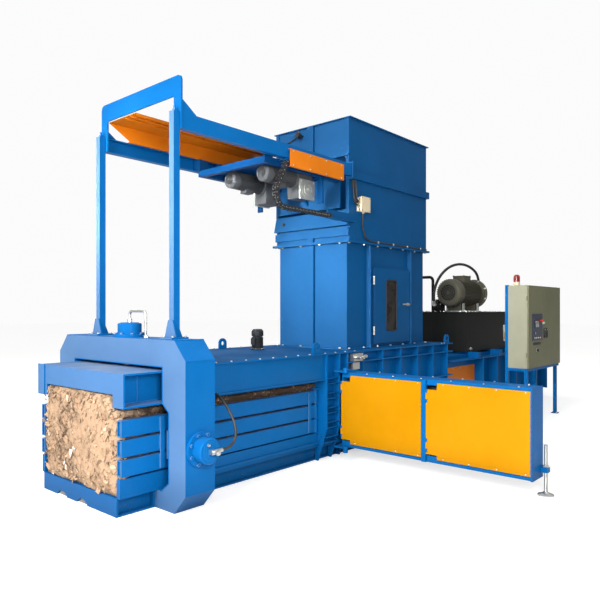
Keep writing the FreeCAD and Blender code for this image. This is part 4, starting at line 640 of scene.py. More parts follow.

# --- Tension ring ---
# A deep box frame of thick plate round the outlet.  Its corners are cut off at a slant, its seams
# are welded inside and out, and a pale painted sheen, in a paper-dust colour, lies on its blue paint
# where it faces the outlet.
outlet_blue = painted("outlet_blue_enamel", (0.0008, 0.100, 0.31), dusty=0.05, outlet=0.16)
coat(outlet_blue, "tension_ring")
mouth = [(-0.645, 0.14), (-0.745, 0.215), (-0.745, 0.75), (-0.664, 0.816), (-0.664, 1.092)]
mouth += [(-y, z) for y, z in reversed(mouth)]
ring_seams = []
for x in (-3.389, -3.104):
    ring_seams += [((x, *a), (x, *b)) for a, b in zip(mouth, mouth[1:])]
for y, z in ((-0.811, 1.3), (-0.945, 1.15), (0.811, 1.3), (0.945, 1.15)):
    ring_seams.append(((-3.386, y, z), (-3.107, y, z)))
welds("ring_seam_welds", ring_seams, blue, size=0.005)

# --- Tension jacks ---
# Three flanged hydraulic cylinders in the ring, their chromed rods pressing on the flaps.  Eight
# painted bolts on washers hold each flange, and each side jack has a plated bleed screw.
zinc = Finish("zinc_plate", (0.72, 0.71, 0.66), 0.3, metal=1.0)
zinc.mottled(zinc.cloud(70.0), (0.55, 0.53, 0.47), (0.82, 0.81, 0.78), (0.25, 0.25))
chrome = Finish("hard_chrome", (0.80, 0.81, 0.83), 0.07, metal=1.0)
chrome.set("Roughness", 0.05 + chrome.cloud(9.0, 2.0, stretch=(1, 1, 12)) * 0.12)
coat(blue, "tension_jacks")
coat(chrome, "rod_top", "rod_near", "rod_far", "ram_rod")
coat(zinc, "jack_bolts")
ring_mid, jack_z = -3.2465, 0.483


def round_spots(centre, facing, radius, count, shift=0.0):
    """Evenly spaced points on a circle that faces along an axis, from shift degrees on."""
    spots = []
    for k in range(count):
        angle = radians(shift + 360 * k / count)
        u, v = radius * cos(angle), radius * sin(angle)
        offset = {"X": (0, u, v), "Y": (u, 0, v), "Z": (u, v, 0)}[facing[-1]]
        spots.append(Vector(centre) + Vector(offset))
    return spots


def marks_at(name, spots):
    """A mesh of loose points."""
    mesh = bpy.data.meshes.new(name)
    mesh.from_pydata([tuple(s) for s in spots], [], [])
    return mesh


def bolts(name, spots, facing, size, finish, body="machine"):
    """Hexagon bolts on washers, one at each spot, with their heads along one axis."""
    sizes = {"Across corners": size, "Head height": size * 0.7, "Facing": FACING[facing]}
    plan = Pattern(name, sizes)
    half, tall = plan.given("Across corners"), plan.given("Head height")
    head = plan.moved(plan.rod(6, half, tall), z=tall * 0.7)
    crown = plan.moved(plan.rod(12, half * 0.82, tall * 0.14), z=tall * 1.25)
    washer = plan.moved(plan.rod(16, half * 1.3, tall * 0.2), z=tall * 0.1)
    bolt = plan.joined(head, crown, washer)
    fixed = plan.copies(plan.given(), bolt, plan.given("Facing"))
    limits = {"Min": (0, 0, 0), "Max": (0, 0, 6.28), "Seed": 4}
    turn = plan.node("FunctionNodeRandomValue", {"data_type": "FLOAT_VECTOR"}, limits)
    fixed = plan.node("GeometryNodeRotateInstances", (), {"Instances": fixed, "Rotation": turn})
    return plan.made(name, fixed, finish, marks_at(name, spots), body, "bright_steel")


groove = [(0, 0), (0.078, 0), (0.078, 0.004), (0.07, 0.006), (0.05, 0.006), (0.047, 0.003)]
groove += [(0, 0.003)]
caps = Workpiece("jack_cap_details")
for label, facing, flange, cap in (
    ("top", "+Z", (ring_mid, 0, 1.326), (ring_mid, 0, 1.4178)),
    ("near", "-Y", (ring_mid, -0.971, jack_z), (ring_mid, -1.0628, jack_z)),
    ("far", "+Y", (ring_mid, 0.971, jack_z), (ring_mid, 1.0628, jack_z)),
):
    flange_spots = round_spots(flange, facing, 0.116, 8, 22.5)
    bolts("jack_bolts_" + label, flange_spots, facing, 0.0135, outlet_blue)
    caps.turned(facing, cap, groove, blue)
bleed = [(0, 0), (0.011, 0), (0.011, 0.012), (0.007, 0.014), (0.007, 0.026), (0, 0.026)]
for y, facing in ((-1.0625, "-Y"), (1.0625, "+Y")):
    caps.turned(facing, (ring_mid - 0.03, y, 0.535), bleed, zinc, 6)
caps.placed("machine", "blue_paint")

# --- Side flaps ---
# Three hollow welded slats a side on one long pin, tied by straps, with a pad under the jack rod.
# Their blue paint carries more dust and scuffs than the bed's.
# outlet=0.12 puts a pale painted sheen on the faces towards the outlet.
rubbed_blue = painted("rubbed_blue_enamel", (0.001, 0.102, 0.315), 0.3, 0.5, 0.36, outlet=0.12)
coat(rubbed_blue, "side_flap_near", "side_flap_far")
for side, label in ((-1, "near"), (1, "far")):
    body = label + "_flap"
    webs = Workpiece("slat_end_webs_" + label)
    seams = []
    for k in range(3):
        low = 0.303 + 0.146 * k
        end = ((-3.700, side * 0.566, low + 0.009), (-3.694, side * 0.614, low + 0.113))
        webs.box(*end, rubbed_blue, 0.001)
        for x in (-3.383, -3.343, -1.617, -1.583):
            seams.append(((x, side * 0.6205, low + 0.012), (x, side * 0.6205, low + 0.11)))
    webs.placed(body, "blue_paint")
    welds("slat_strap_welds_" + body, seams, rubbed_blue, 0.004, body)

# --- Top flap ---
# A deep hollow beam that the top jack tilts down on the paper.  Its upper plate carries pale dust
# and drips, and one thick bead closes its near web.
# outlet=0.12 puts a pale painted sheen on the faces towards the outlet.
dusty_blue = painted("dusty_blue_enamel", (0.001, 0.102, 0.315), 0.62, 0.4, 0.4, outlet=0.12)
coat(dusty_blue, "top_flap")
flap_seams = []
fins = Workpiece("flap_web_stiffeners")
for side in (-1, 1):
    flap_seams.append(((-3.52, side * 0.530, 0.824), (-3.52, side * 0.530, 1.045)))
    for z in (1.046, 0.823):
        flap_seams.append(((-3.70, side * 0.531, z), (-1.56, side * 0.531, z)))
    for x in (-3.05, -2.5, -1.95):
        rib = ((x, side * 0.529, 0.8215), (x + 0.012, side * 0.645, 1.0475))
        fins.box(*rib, dusty_blue, 0.001)
welds("flap_seam_welds", flap_seams, dusty_blue, 0.007, "upper_flap")
fins.placed("upper_flap", "blue_paint")
end_plate = Workpiece("flap_end_plate")
end_plate.box((-3.7345, 0.545, 0.808), (-3.7225, 0.6545, 1.066), dusty_blue, 0.002)
end_plate.placed("upper_flap", "blue_paint")

# --- Pressed paper ---
# Waste card and paper pressed into one block by the ram, crumpled into sharp folds, bulging out
# between the slats and beyond the flaps, with torn scraps sticking out of its face.
paper = Finish("pressed_card", (0.6, 0.46, 0.31), 0.9)
tone = paper.node("ShaderNodeAttribute", {"attribute_name": "tone"}, out=2)
fold = paper.node("ShaderNodeAttribute", {"attribute_name": "fold"}, out=2)
stops = [
    (0.0, (0.19, 0.112, 0.062)),
    (0.30, (0.29, 0.177, 0.101)),
    (0.58, (0.375, 0.242, 0.146)),
    (0.82, (0.455, 0.305, 0.192)),
    (0.95, (0.58, 0.430, 0.305)),
    (1.0, (0.74, 0.700, 0.630)),
]
speck = paper.cloud(120.0, 4.0)
along = paper.node("ShaderNodeSeparateXYZ", (), {0: paper.at()})
deep = along.ramp(-3.52, -3.34)
shreds = (paper.cloud(70.0) - 0.5) * deep * 2.6
mixed = (tone + (paper.cloud(26.0) - 0.5) * 0.30 + shreds + (speck - 0.5) * 0.24).held()
kraft = paper.node("ShaderNodeValToRGB", {"stops": stops}, {0: mixed})
slant = paper.node("ShaderNodeMapping", (), {"Vector": paper.at(), "Rotation": (0.95, 0, 0)})
slant = paper.node("ShaderNodeMapping", (), {"Vector": slant, "Scale": (9, 11, 31)})
sockets = {"Vector": slant, "Scale": 1.0, "Detail": 4.0, "Roughness": 0.62, "Distortion": 1.1}
slits = paper.node("ShaderNodeTexNoise", (), sockets)
torn_part = paper.cloud(4.6, 2.0).ramp(0.40, 0.62) * 0.5 + 0.45
pits = (slits.ramp(0.604, 0.630) * torn_part).held()
holes = paper.cloud(58.0, 2.0).ramp(0.66, 0.72) * torn_part
pits = (pits + holes).held()
# Creases, pits, slits and the card deep in the channel are darkened towards near-black: painted shade.
shadow = (fold + pits * 0.9 + deep * (0.97 - paper.cloud(52.0).ramp(0.50, 0.66) * 0.5)).held()
paper.set("Base Color", paper.colours(shadow, kraft, (0.045, 0.026, 0.014)))
paper.relief(speck * 0.3 + paper.cloud(48.0, 5.0) - pits * 1.6, 0.006, 0.9)

# The noise starts from this number, so that the folds come out the same each time.
crumple_seed = 1795514072
noise.seed_set(crumple_seed)


def crumple(spot):
    """How far a point of crumpled card stands out, its tone, and how deep in a crease it lies."""
    torn = min(1.0, max(0.0, noise.noise(spot * 3.4 + Vector((4, 1, 2))) * 1.7 + 0.42))
    height = 0.010 * noise.fractal(spot * 4.0, 1.0, 2.0, 4)
    tone = 0.0
    crease = 0.0
    lean = Vector((spot.x, spot.y * 0.62 + spot.z * 0.55, spot.z * 1.1 - spot.y * 0.95))
    for scale, reach, share in ((8.0, 0.016, 0.35 + 0.65 * torn), (19.0, 0.008, torn)):
        where = lean * scale + noise.noise_vector(spot * scale * 0.7) * 0.7
        distances, centres = noise.voronoi(where)
        tilt = noise.cell_vector(centres[0] * 9.7) - Vector((0.5, 0.5, 0.5))
        height += reach * share * (tilt.dot(where - centres[0]) * 1.5 + 0.45 * tilt.x)
        tone += (noise.cell(centres[0] * 5.3 + Vector((3, 1, 7))) - 0.5) * reach * (5 + 8 * torn)
        crease = max(crease, (1 - (distances[1] - distances[0]) / 0.13) * share * (0.25 + torn))
    return height, 0.60 + tone * 0.5, crease


def bale_half(z):
    """Half the channel's width at a height; it narrows above the side flaps."""
    return 0.551 - 0.046 * max(0.0, min(1.0, (z - 0.775) / 0.03))


SLAT_GAPS = ((0.284, 0.303), (0.425, 0.449), (0.571, 0.595), (0.717, 0.805))
across, upright = 184, 126
bale_low, bale_high, bale_face = 0.142, 0.891, -3.742
levels = [bale_low + (bale_high - bale_low) * j / upright for j in range(upright + 1)]
shell = bmesh.new()
tone_mark = shell.verts.layers.float.new("tone")
crease_shade_mark = shell.verts.layers.float.new("fold")


def bale_point(x, y, z, push=0.0):
    """A corner of the bale's skin, which may stand out towards the outlet by push times its height."""
    height, tone, crease = crumple(Vector((x, y, z)))
    point = shell.verts.new((x - push * height, y, z))
    point[tone_mark] = tone
    point[crease_shade_mark] = max(0.0, min(0.85, crease * 0.8 - 0.05))
    return point


def edge_of(wide, tall):
    """The places on the edge of a grid of points, once round."""
    spots = [(i, 0) for i in range(wide)] + [(wide, j) for j in range(tall)]
    return spots + [(wide - i, tall) for i in range(wide)] + [(0, tall - j) for j in range(tall)]


grid = []
for i in range(across + 1):
    u = 2 * i / across - 1
    column = []
    for j, z in enumerate(levels):
        v = 2 * j / upright - 1
        back = 0.045 * max(abs(u), abs(v)) ** 7
        bulge = 0.020 * (1 - u * u) * (1 - v * v)
        column.append(bale_point(bale_face + back - bulge, u * bale_half(z), z, 1.5))
    grid.append(column)
for i in range(across):
    for j in range(upright):
        shell.faces.new((grid[i][j], grid[i][j + 1], grid[i + 1][j + 1], grid[i + 1][j]))
border = edge_of(across, upright)
last = [grid[i][j] for i, j in border]
reach = [-3.690 + 0.013 * k for k in range(26)] + [-3.34 + 0.12 * k for k in range(17)] + [-1.268]
for x in reach:
    loop = []
    for i, j in border:
        z = levels[j]
        y = (2 * i / across - 1) * bale_half(z)
        if i in (0, across) and 0 < j < upright:
            side = 1 if i else -1
            swell, limit = 0.0, 0.0
            for low, high in SLAT_GAPS:
                if low < z < high:
                    swell = 0.022 * (1 - ((z - (low + high) / 2) / ((high - low) / 2)) ** 2)
                    limit = 0.012
            height = crumple(Vector((x, y, z)))[0]
            point = bale_point(x, y + side * (swell - 0.008), z)
            point.co.y += side * max(-0.02, min(limit, height))
        else:
            point = bale_point(x, y, z)
        loop.append(point)
    band(shell, last, loop)
    last = loop
shell.faces.new(last)
chance = random.Random(11)


def scrap(centre, facing, size, tone, lean):
    """A small torn sheet, bent along two folds, with a free edge."""
    wide, tall = size, size * chance.uniform(0.3, 0.75)
    spin = Euler((0, 0, chance.uniform(0, 6.28))).to_matrix()
    turn = Euler((chance.uniform(-lean, lean), chance.uniform(-lean, lean), 0)).to_matrix()
    way = Vector(facing).to_track_quat("Z", "Y").to_matrix() @ turn @ spin
    bend = [chance.uniform(-0.25, 0.35) for _ in range(3)]
    rows = []
    for i in range(5):
        line = []
        for j in range(4):
            u, v = i / 4 - 0.5, j / 3 - 0.5
            lift = bend[0] * u * u * 2 + bend[1] * abs(v) * 0.6 + bend[2] * u * v * 2
            jag = chance.uniform(-0.07, 0.07)
            line.append(Vector(((u + jag) * wide, (v + jag) * tall, lift * wide * 0.6)))
        rows.append(line)
    sheets = []
    for thick in (0.0, 0.0012):
        sheet = []
        for line in rows:
            points = [shell.verts.new(Vector(centre) + way @ (p + Vector((0, 0, thick)))) for p in line]
            for point in points:
                point[tone_mark] = tone
            sheet.append(points)
        sheets.append(sheet)
    for upper, sheet in enumerate(sheets):
        for i in range(4):
            for j in range(3):
                loop = (sheet[i][j], sheet[i + 1][j], sheet[i + 1][j + 1], sheet[i][j + 1])
                shell.faces.new(loop if upper else tuple(reversed(loop)))
    below, above = ([sheet[i][j] for i, j in edge_of(4, 3)] for sheet in sheets)
    band(shell, below, above)


TINTS = (0.25, 0.4, 0.5, 0.55, 0.6, 0.65, 0.7, 0.75, 0.8, 0.9)
face_scraps, gap_scraps, edge_scraps = 210, 150, 7
placed_scraps = 0
while placed_scraps < face_scraps:
    z = chance.uniform(0.165, 0.875)
    y = chance.uniform(-0.98, 0.98) * bale_half(z)
    edge = max(abs(y) / 0.55, abs(z - 0.5165) / 0.375)
    if chance.random() < edge ** 4 * 0.8 + 0.10:
        inset = 0.020 * (1 - (y / 0.55) ** 2) - 0.045 * edge ** 7
        spot = (-3.744 - inset + chance.uniform(-0.006, 0.006), y, z)
        scrap(spot, (-1, 0, 0), chance.uniform(0.018, 0.055), chance.choice(TINTS), 0.55)
        placed_scraps += 1
for y, z, size in ((0.02, 0.40, 0.055), (0.10, 0.27, 0.04), (0.13, 0.30, 0.03), (-0.02, 0.44, 0.03)):
    scrap((-3.768, y, z), (-1, 0, 0), size, 1.1, 0.25)
for _ in range(gap_scraps):
    low, high = chance.choice(SLAT_GAPS[1:])
    side = chance.choice((-1, 1))
    spot = (chance.uniform(-3.69, -1.6), side * 0.564, chance.uniform(low + 0.008, high - 0.008))
    scrap(spot, (0, side, 0), chance.uniform(0.015, 0.03), chance.choice(TINTS), 0.6)
for low, high in SLAT_GAPS:
    for side in (-1, 1):
        for _ in range(edge_scraps):
            z = chance.uniform(low + 0.006, high - 0.006)
            spot = (chance.uniform(-3.715, -3.66), side * chance.uniform(0.562, 0.598), z)
            scrap(spot, (-0.6, side, 0.2), chance.uniform(0.018, 0.034), chance.choice(TINTS), 0.9)
shell.normal_update()
bale = Workpiece("pressed_paper_bale")
bale.add(shell, paper)
bale.placed("machine", "pressed_paper", ["paper_bale"])

# --- Roof and chamber walls ---
# The roof plate is bolted down along both skirts; the walls behind it stand on ribs welded at an even
# pitch, and the guide shelves at the near wall end at the slats.
# The roof's blue is darker than the bed's, and its level faces take a near-black blue in place of dust:
# painted shade, for the dark surroundings that the roof reflects.
roof_top_shade = (0.003, 0.020, 0.040)
roof_blue = painted("roof_blue_enamel", (0.0006, 0.088, 0.270), 0.6, dust=roof_top_shade)
coat(roof_blue, "chamber_roof")
coat(blue, "chamber_wall_near", "chamber_wall_far")
skirt_y, roof_top = 0.708, 1.0932


def row(start, end, count):
    """Evenly spaced points from start to end."""
    first, last = Vector(start), Vector(end)
    return [first.lerp(last, k / (count - 1)) for k in range(count)]


roof_row = []
for start, end, count in ((-3.06, -1.70, 9), (-1.46, -0.96, 4), (0.96, 1.03, 2)):
    roof_row += row((start, -skirt_y, roof_top), (end, -skirt_y, roof_top), count)
roof_row += [Vector((p.x, skirt_y, p.z)) for p in roof_row]
bolts("roof_edge_bolts", roof_row, "+Z", 0.0085, zinc)
wall_seams = []
for side in (-1, 1):
    for k in range(6):
        x = -0.832 + 0.383 * k
        for z in (0.158, 0.318):
            wall_seams.append(((x, side * 0.637, z), (x, side * 0.717, z)))
        for low, high in ((0.68, 0.95), (0.33, 0.64)):
            wall_seams.append(((x, side * 0.638, low), (x, side * 0.638, high)))
    wall_seams.append(((-3.09, side * 0.6945, 0.845), (-3.09, side * 0.6945, 1.07)))
welds("chamber_seam_welds", wall_seams, blue, 0.005)
pin_steel = Finish("oiled_pin_steel", (0.30, 0.29, 0.27), 0.38, metal=1.0)
oil = pin_steel.cloud(22.0, 4.0)
pin_steel.mottled(oil, (0.20, 0.17, 0.14), (0.46, 0.45, 0.43), (0.28, 0.35))
coat(pin_steel, "hinge_pins", "needles")

# --- Main ram, cylinder and rear frame ---
# The ram's plate box is pushed by one long hydraulic cylinder that lies in the open rear frame.  The
# orange sheet guards over the ram's tail are held by button screws.
coat(blue, "rear_frame", "ram")
cylinder_paint = painted("cylinder_enamel", (0.05, 0.055, 0.06), dusty=0.5, worn=0.4, rough=0.42)
coat(cylinder_paint, "main_cylinder")
orange = painted("orange_enamel", (0.62, 0.165, 0.006), dusty=0.08, worn=0.15, rough=0.32)
coat(orange, "rear_guards")
guard_screws = []
for z in (0.712, 0.325):
    guard_screws += row((1.30, -0.5832, z), (2.16, -0.5832, z), 5)
bolts("rear_guard_screws", guard_screws, "-Y", 0.0065, zinc)
rear_seams = []
for side in (-1, 1):
    for x in (2.3, 3.1, 4.0, 4.82):
        rear_seams.append(((x, side * 0.5765, 0.16), (x, side * 0.5765, 0.29)))
welds("rear_frame_welds", rear_seams, blue, 0.004)

# --- Gantry ---
# Two square posts and a portal carry the bridge beams that the trolley runs along.  The hood and the
# near guard are folded orange sheet, screwed to the beams.
coat(outlet_blue, "gantry_posts")
coat(blue, "gantry_bridge")
coat(orange, "gantry_covers")
post_x, post_y, bolt_reach = -3.193, 0.554, 0.062
foot_bolts, gantry_seams = [], []
for y in (-post_y, post_y):
    for u, v in ((-1, -1), (1, -1), (1, 1), (-1, 1)):
        foot_bolts.append((post_x + u * bolt_reach, y + v * bolt_reach, 1.3142))
    gantry_seams.append(((-3.2235, y - 0.03, 1.3155), (-3.2235, y + 0.03, 1.3155)))
    gantry_seams.append(((-3.147, y * 1.07, 3.0), (-3.147, y * 1.07, 3.12)))
bolts("post_foot_bolts", foot_bolts, "+Z", 0.0115, zinc)
cover_screws = []
for z in (2.928, 3.062):
    cover_screws += row((-1.84, -0.6222, z), (-1.08, -0.6222, z), 4)
bolts("bridge_guard_screws", cover_screws, "-Y", 0.006, zinc)
welds("gantry_seam_welds", gantry_seams, blue, 0.004)

# --- Feed tower ---
# Two sheet-steel casings on top of each other, bolted together through their flanges.  The large thin
# sheets show faint upright ripples, and the sloping panel carries one screw knob.
# The casings' blue is a darker copy of the bed's blue enamel: painted shade; outlet=0.025 adds a faint
# painted sheen.
shaded_tower_paint = painted(
    "shaded_tower_enamel",
    (0.0007, 0.070, 0.21),
    dusty=0.05,
    worn=0.1,
    rough=0.27,
    ripple=7.0,
    outlet=0.025,
)
coat(shaded_tower_paint, "tower_lower", "tower_upper", "inspection_door", "pusher_plate")
for label, z, facing in (("base", 1.1052, "+Z"), ("joint", 2.2768, "-Z")):
    flange_row = []
    for side in (-1, 1):
        flange_row += row((-0.832, side * 0.540, z), (0.832, side * 0.540, z), 7)
        flange_row += row((side * 0.862, -0.43, z), (side * 0.862, 0.43, z), 4)
    bolts(f"tower_{label}_bolts", flange_row, facing, 0.0125, zinc)
frame_screws = [(0.47, -0.5055, z) for z in (1.22, 1.52, 1.62, 1.93, 2.08)]
bolts("door_frame_screws", frame_screws, "-Y", 0.0085, zinc)
tower_seams = [((x, -0.5065, 1.12), (x, -0.5065, 2.26)) for x in (-0.439, 0.452)]
welds("tower_seam_welds", tower_seams, shaded_tower_paint, 0.003)

# --- Inspection door ---
# A sheet door on two pin hinges.  Its narrow window sits in a black rubber gasket, and a plated
# lever turns the latch behind its keeper.  The window is a dark glossy sheet: painted shade for the
# dark tower inside.
# Near-black glossy window: painted shade for the tower's dark inside.
window_shade = Finish("shaded_window_glass", (0.030, 0.026, 0.024), 0.09, coat=0.1)
haze = window_shade.cloud(7.0, 4.0)
window_shade.mottled(haze.ramp(0.35, 0.8), (0.014, 0.012, 0.011), (0.045, 0.040, 0.036))
window_shade.set("Roughness", 0.06 + haze * 0.2)
window_shade.set("Specular IOR Level", 0.2)
coat(window_shade, "door_window")
coat(zinc, "door_latch")
sealing = Finish("black_gasket", (0.012, 0.012, 0.013), 0.6)
sealing.relief(sealing.cloud(300.0), 0.0003, 0.5)


def corner_loop(low, high, radius):
    """A rectangle's outline in X and Z with round corners."""
    spots = []
    for cx, cz, start in ((1, 1, 0), (0, 1, 90), (0, 0, 180), (1, 0, 270)):
        x = high[0] - radius if cx else low[0] + radius
        z = high[1] - radius if cz else low[1] + radius
        for k in range(7):
            angle = radians(start + 15 * k)
            spots.append((x + radius * cos(angle), z + radius * sin(angle)))
    return spots


window_low, window_high, corner = (-0.094, 1.296), (0.108, 1.874), 0.03
sheet_y, proud, broad = -0.5505, 0.0065, 0.02
inner = corner_loop(window_low, window_high, corner)
grown = ([v - broad for v in window_low], [v + broad for v in window_high])
outer = corner_loop(*grown, corner + broad)
strip = bmesh.new()
rings = []
for share, lift in ((0, 0), (0.08, 0.75), (0.3, 1), (0.7, 1), (0.92, 0.75), (1, 0)):
    ring = []
    for (ax, az), (bx, bz) in zip(outer, inner):
        spot = (ax + (bx - ax) * share, sheet_y - proud * lift, az + (bz - az) * share)
        ring.append(strip.verts.new(spot))
    rings.append(ring)
for first, second in zip(rings, rings[1:] + rings[:1]):
    band(strip, first, second)
bmesh.ops.recalc_face_normals(strip, faces=strip.faces[:])
door_rubber = Workpiece("door_window_gasket")
door_rubber.add(strip, sealing)
door_rubber.placed("tower_door", "black_rubber")
sleeve = [(0.0, 0), (0.0114, 0), (0.0124, 0.001), (0.0124, 0.0275), (0.0114, 0.0285), (0.0, 0.0285)]
long_sleeve = [(r, h * 1.36) for r, h in sleeve]
hinge_line = (-0.358, -0.545)
fixed_sleeves, door_sleeves = Workpiece("door_hinge_sleeves"), Workpiece("door_moving_sleeves")
for low in (1.241, 1.825):
    for lift in (0.0005, 0.0710):
        fixed_sleeves.turned("+Z", (*hinge_line, low + lift), sleeve, zinc, 24)
    door_sleeves.turned("+Z", (*hinge_line, low + 0.0306), long_sleeve, zinc, 24)
fixed_sleeves.placed("machine", "bright_steel")
door_sleeves.placed("tower_door", "bright_steel")

# --- Feed trolley ---
# A tube frame on slide shoes between the bridge beams; two geared motors hang under its deck.  Their
# finned housings and gear cases are cast and sprayed grey, with one bright machined cover each.
trolley_paint = painted("trolley_enamel", (0.0015, 0.050, 0.17), dusty=0.4, worn=0.3, rough=0.4)
coat(trolley_paint, "trolley_frame")
cast_grey = painted("cast_grey_enamel", (0.085, 0.090, 0.095), dusty=0.5, worn=0.5, rough=0.5)
machined = Finish("machined_cover", (0.50, 0.52, 0.50), 0.42, metal=0.6)
turning = machined.cloud(34.0)
machined.mottled(turning, (0.36, 0.38, 0.36), (0.62, 0.64, 0.61), (0.35, 0.2))
# Near-black for what stands in for shaded hollows, holes and slots: painted shade.
shadow_black = Finish("cowl_inside", (0.010, 0.010, 0.011), 0.8)
shadow_black.relief(shadow_black.cloud(90.0), 0.001)


def cooling_fins(name, centre, sizes, count, finish, body="machine", facing="+X"):
    """Cast fins round a motor's housing; sizes are root and tip radius, thickness and length."""
    keys = ("Root radius", "Tip radius", "Fin thickness", "Fin length")
    given = dict(zip(keys, sizes))
    given.update({"Fins": count, "Centre": centre, "Axis turn": FACING[facing]})
    plan = Pattern(name, given)
    root, tip, thick, length, fins, middle, axis = (plan.given(label) for label in given)
    fin = plan.node("GeometryNodeMeshCube", (), {"Size": plan.vector(tip - root, thick, length)})
    circle = plan.node("GeometryNodeMeshCircle", (), {"Vertices": fins, "Radius": (tip + root) * 0.5})
    angle = plan.node("GeometryNodeInputIndex") * (2 * pi / count)
    standing = plan.copies(circle, fin, plan.vector(z=angle))
    sockets = {"Geometry": standing, "Translation": middle, "Rotation": axis}
    fixed = plan.node("GeometryNodeTransform", (), sockets)
    return plan.made(name, fixed, finish, marks_at(name, []), body, "grey_motor")


def cowl_grille(piece, at, radius, finish, spokes=12):
    """The guard over a fan inlet, facing -X: rings and spokes before a black disc that is painted
    shade for the hollow behind them.
    """
    hollow = [(0, 0.002), (radius, 0.002), (radius, 0.006), (0, 0.006)]
    piece.turned("+X", at, hollow, shadow_black, 40)
    thick, thin = max(0.0016, radius * 0.02), max(0.0014, radius * 0.017)
    for share in (0.22, 0.48, 0.74, 1.0):
        ring = round_spots((at[0] - 0.0005, at[1], at[2]), "X", radius * share, 36)
        piece.tube(ring + ring[:1], thick, finish, 6, 1)
    middle = Vector(at) + Vector((0.0005, 0, 0))
    for k in range(spokes // 2):
        lean = pi * k / (spokes // 2)
        reach = Vector((0, cos(lean), sin(lean))) * radius * 1.02
        piece.tube([middle - reach, middle, middle + reach], thin, finish, 6, 1)


def gear_motor(piece, start, side):
    """One travel motor: fan cowl, housing, terminal box, gear case and output cover."""
    x, y, z = start
    cowl = [(0, 0.004), (0.050, 0.004), (0.054, 0), (0.062, 0), (0.074, 0.006), (0.084, 0.013)]
    cowl += [(0.088, 0.022), (0.088, 0.09), (0.078, 0.092), (0.078, 0.105), (0.070, 0.11)]
    cowl += [(0.070, 0.44), (0.088, 0.446), (0.096, 0.452), (0.096, 0.470), (0, 0.470)]
    piece.turned("+X", start, cowl, cast_grey, 48)
    cowl_grille(piece, start, 0.048, cast_grey)
    outer = y + side * 0.105
    shapes = [
        ((0.2, -0.043, -0.114), (0.31, 0.043, -0.066), cast_grey, 0.008),
        ((0.196, -0.045, -0.116), (0.314, 0.045, -0.104), cast_grey, 0.004),
        ((0.462, -0.085, -0.200), (0.690, 0.085, 0.098), cast_grey, 0.022),
        ((0.456, side * 0.084, -0.206), (0.696, side * 0.105, 0.002), machined, 0.006),
    ]
    for dz in (-0.13, -0.02, 0.05):
        shapes.append(((0.50, side * 0.08, dz), (0.63, side * 0.088, dz + 0.008), cast_grey, 0.003))
    for low, high, finish, edge in shapes:
        low = [a + b for a, b in zip(start, low)]
        high = [a + b for a, b in zip(start, high)]
        piece.box(low, high, finish, edge)
    boss = [(0, 0), (0.092, 0), (0.092, 0.006), (0.066, 0.007), (0.066, 0.016), (0.060, 0.018)]
    boss += [(0.046, 0.018), (0.044, 0.011), (0.029, 0.011), (0.027, 0.016), (0.022, 0.018)]
    boss += [(0.020, 0.028), (0.017, 0.030), (0, 0.030)]
    facing = "-Y" if side < 0 else "+Y"
    piece.turned(facing, (x + 0.576, outer, z - 0.102), boss, machined, 48)
    corners = [(x + dx, outer, z + dz) for dx in (0.478, 0.674) for dz in (-0.184, -0.020)]
    return corners, facing


motors = {"near": ((-1.946, -0.294, 2.892), -1), "far": ((-1.930, 0.200, 2.892), 1)}
gear_motors = Workpiece("travel_gearmotors")
covers = {label: gear_motor(gear_motors, at, side) for label, (at, side) in motors.items()}
gear_motors.placed("trolley", "grey_motor", ["travel_motors"])
for label, (corners, facing) in covers.items():
    bolts(f"{label}_cover_bolts", corners, facing, 0.009, zinc, "trolley")
for label, (at, side) in motors.items():
    middle = (at[0] + 0.275, at[1], at[2])
    fin_sizes = (0.068, 0.0895, 0.0035, 0.32)
    cooling_fins(f"{label}_motor_fins", middle, fin_sizes, 32, cast_grey, "trolley")

# --- Energy chain ---
# Moulded black links, each with two windowed side plates and two cross bars, pinned in a row.  They
# lie in the tray on the tower, turn up in one bend and hang from the trolley's arm.
chain_black = Finish("chain_nylon", (0.016, 0.016, 0.017), 0.45)
scuff = chain_black.cloud(60.0, 4.0)
chain_black.mottled(scuff.ramp(0.5, 0.8), (0.013, 0.013, 0.014), (0.06, 0.06, 0.06))
chain_black.set("Roughness", 0.38 + scuff * 0.25)
pitch, bend, rise, sweep = 0.050, 0.124, 0.295, radians(118)
tray_start, bend_x, chain_y, tray_z, arm_z = -1.225, -1.930, -0.586, 2.516, 2.95
flat_run = tray_start - bend_x
link_spots, link_tilts = [], []
for k in range(int((flat_run + bend * sweep + rise) // pitch)):
    along = (k + 0.5) * pitch
    angle = min(max(along - flat_run, 0.0) / bend, sweep)
    past = max(along - flat_run - bend * sweep, 0.0)
    if along < flat_run:
        x, z = tray_start - along, tray_z
    else:
        x = bend_x - bend * sin(angle) - past * cos(angle)
        z = tray_z + bend - bend * cos(angle) + past * sin(angle)
    link_spots.append((x, chain_y, z))
    link_tilts.append(angle)


def lying(plan, shape):
    """A part of the chain, turned to lie across it."""
    return plan.node("GeometryNodeTransform", (), {"Geometry": shape, "Rotation": FACING["-Y"]})


def along_chain(plan, name, part, finish, scale=(1, 1, 1)):
    """A copy of one part at every link, tilted with it, from the tower's tray to the trolley."""
    marks = marks_at(name, link_spots)
    marks.attributes.new("tilt", "FLOAT", "POINT").data.foreach_set("value", link_tilts)
    tilt = plan.node("GeometryNodeInputNamedAttribute", {"data_type": "FLOAT"}, {"Name": "tilt"})
    links = plan.copies(plan.given(), part, plan.vector(y=tilt), scale)
    thing = plan.made(name, links, finish, marks)
    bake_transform(thing)
    return thing


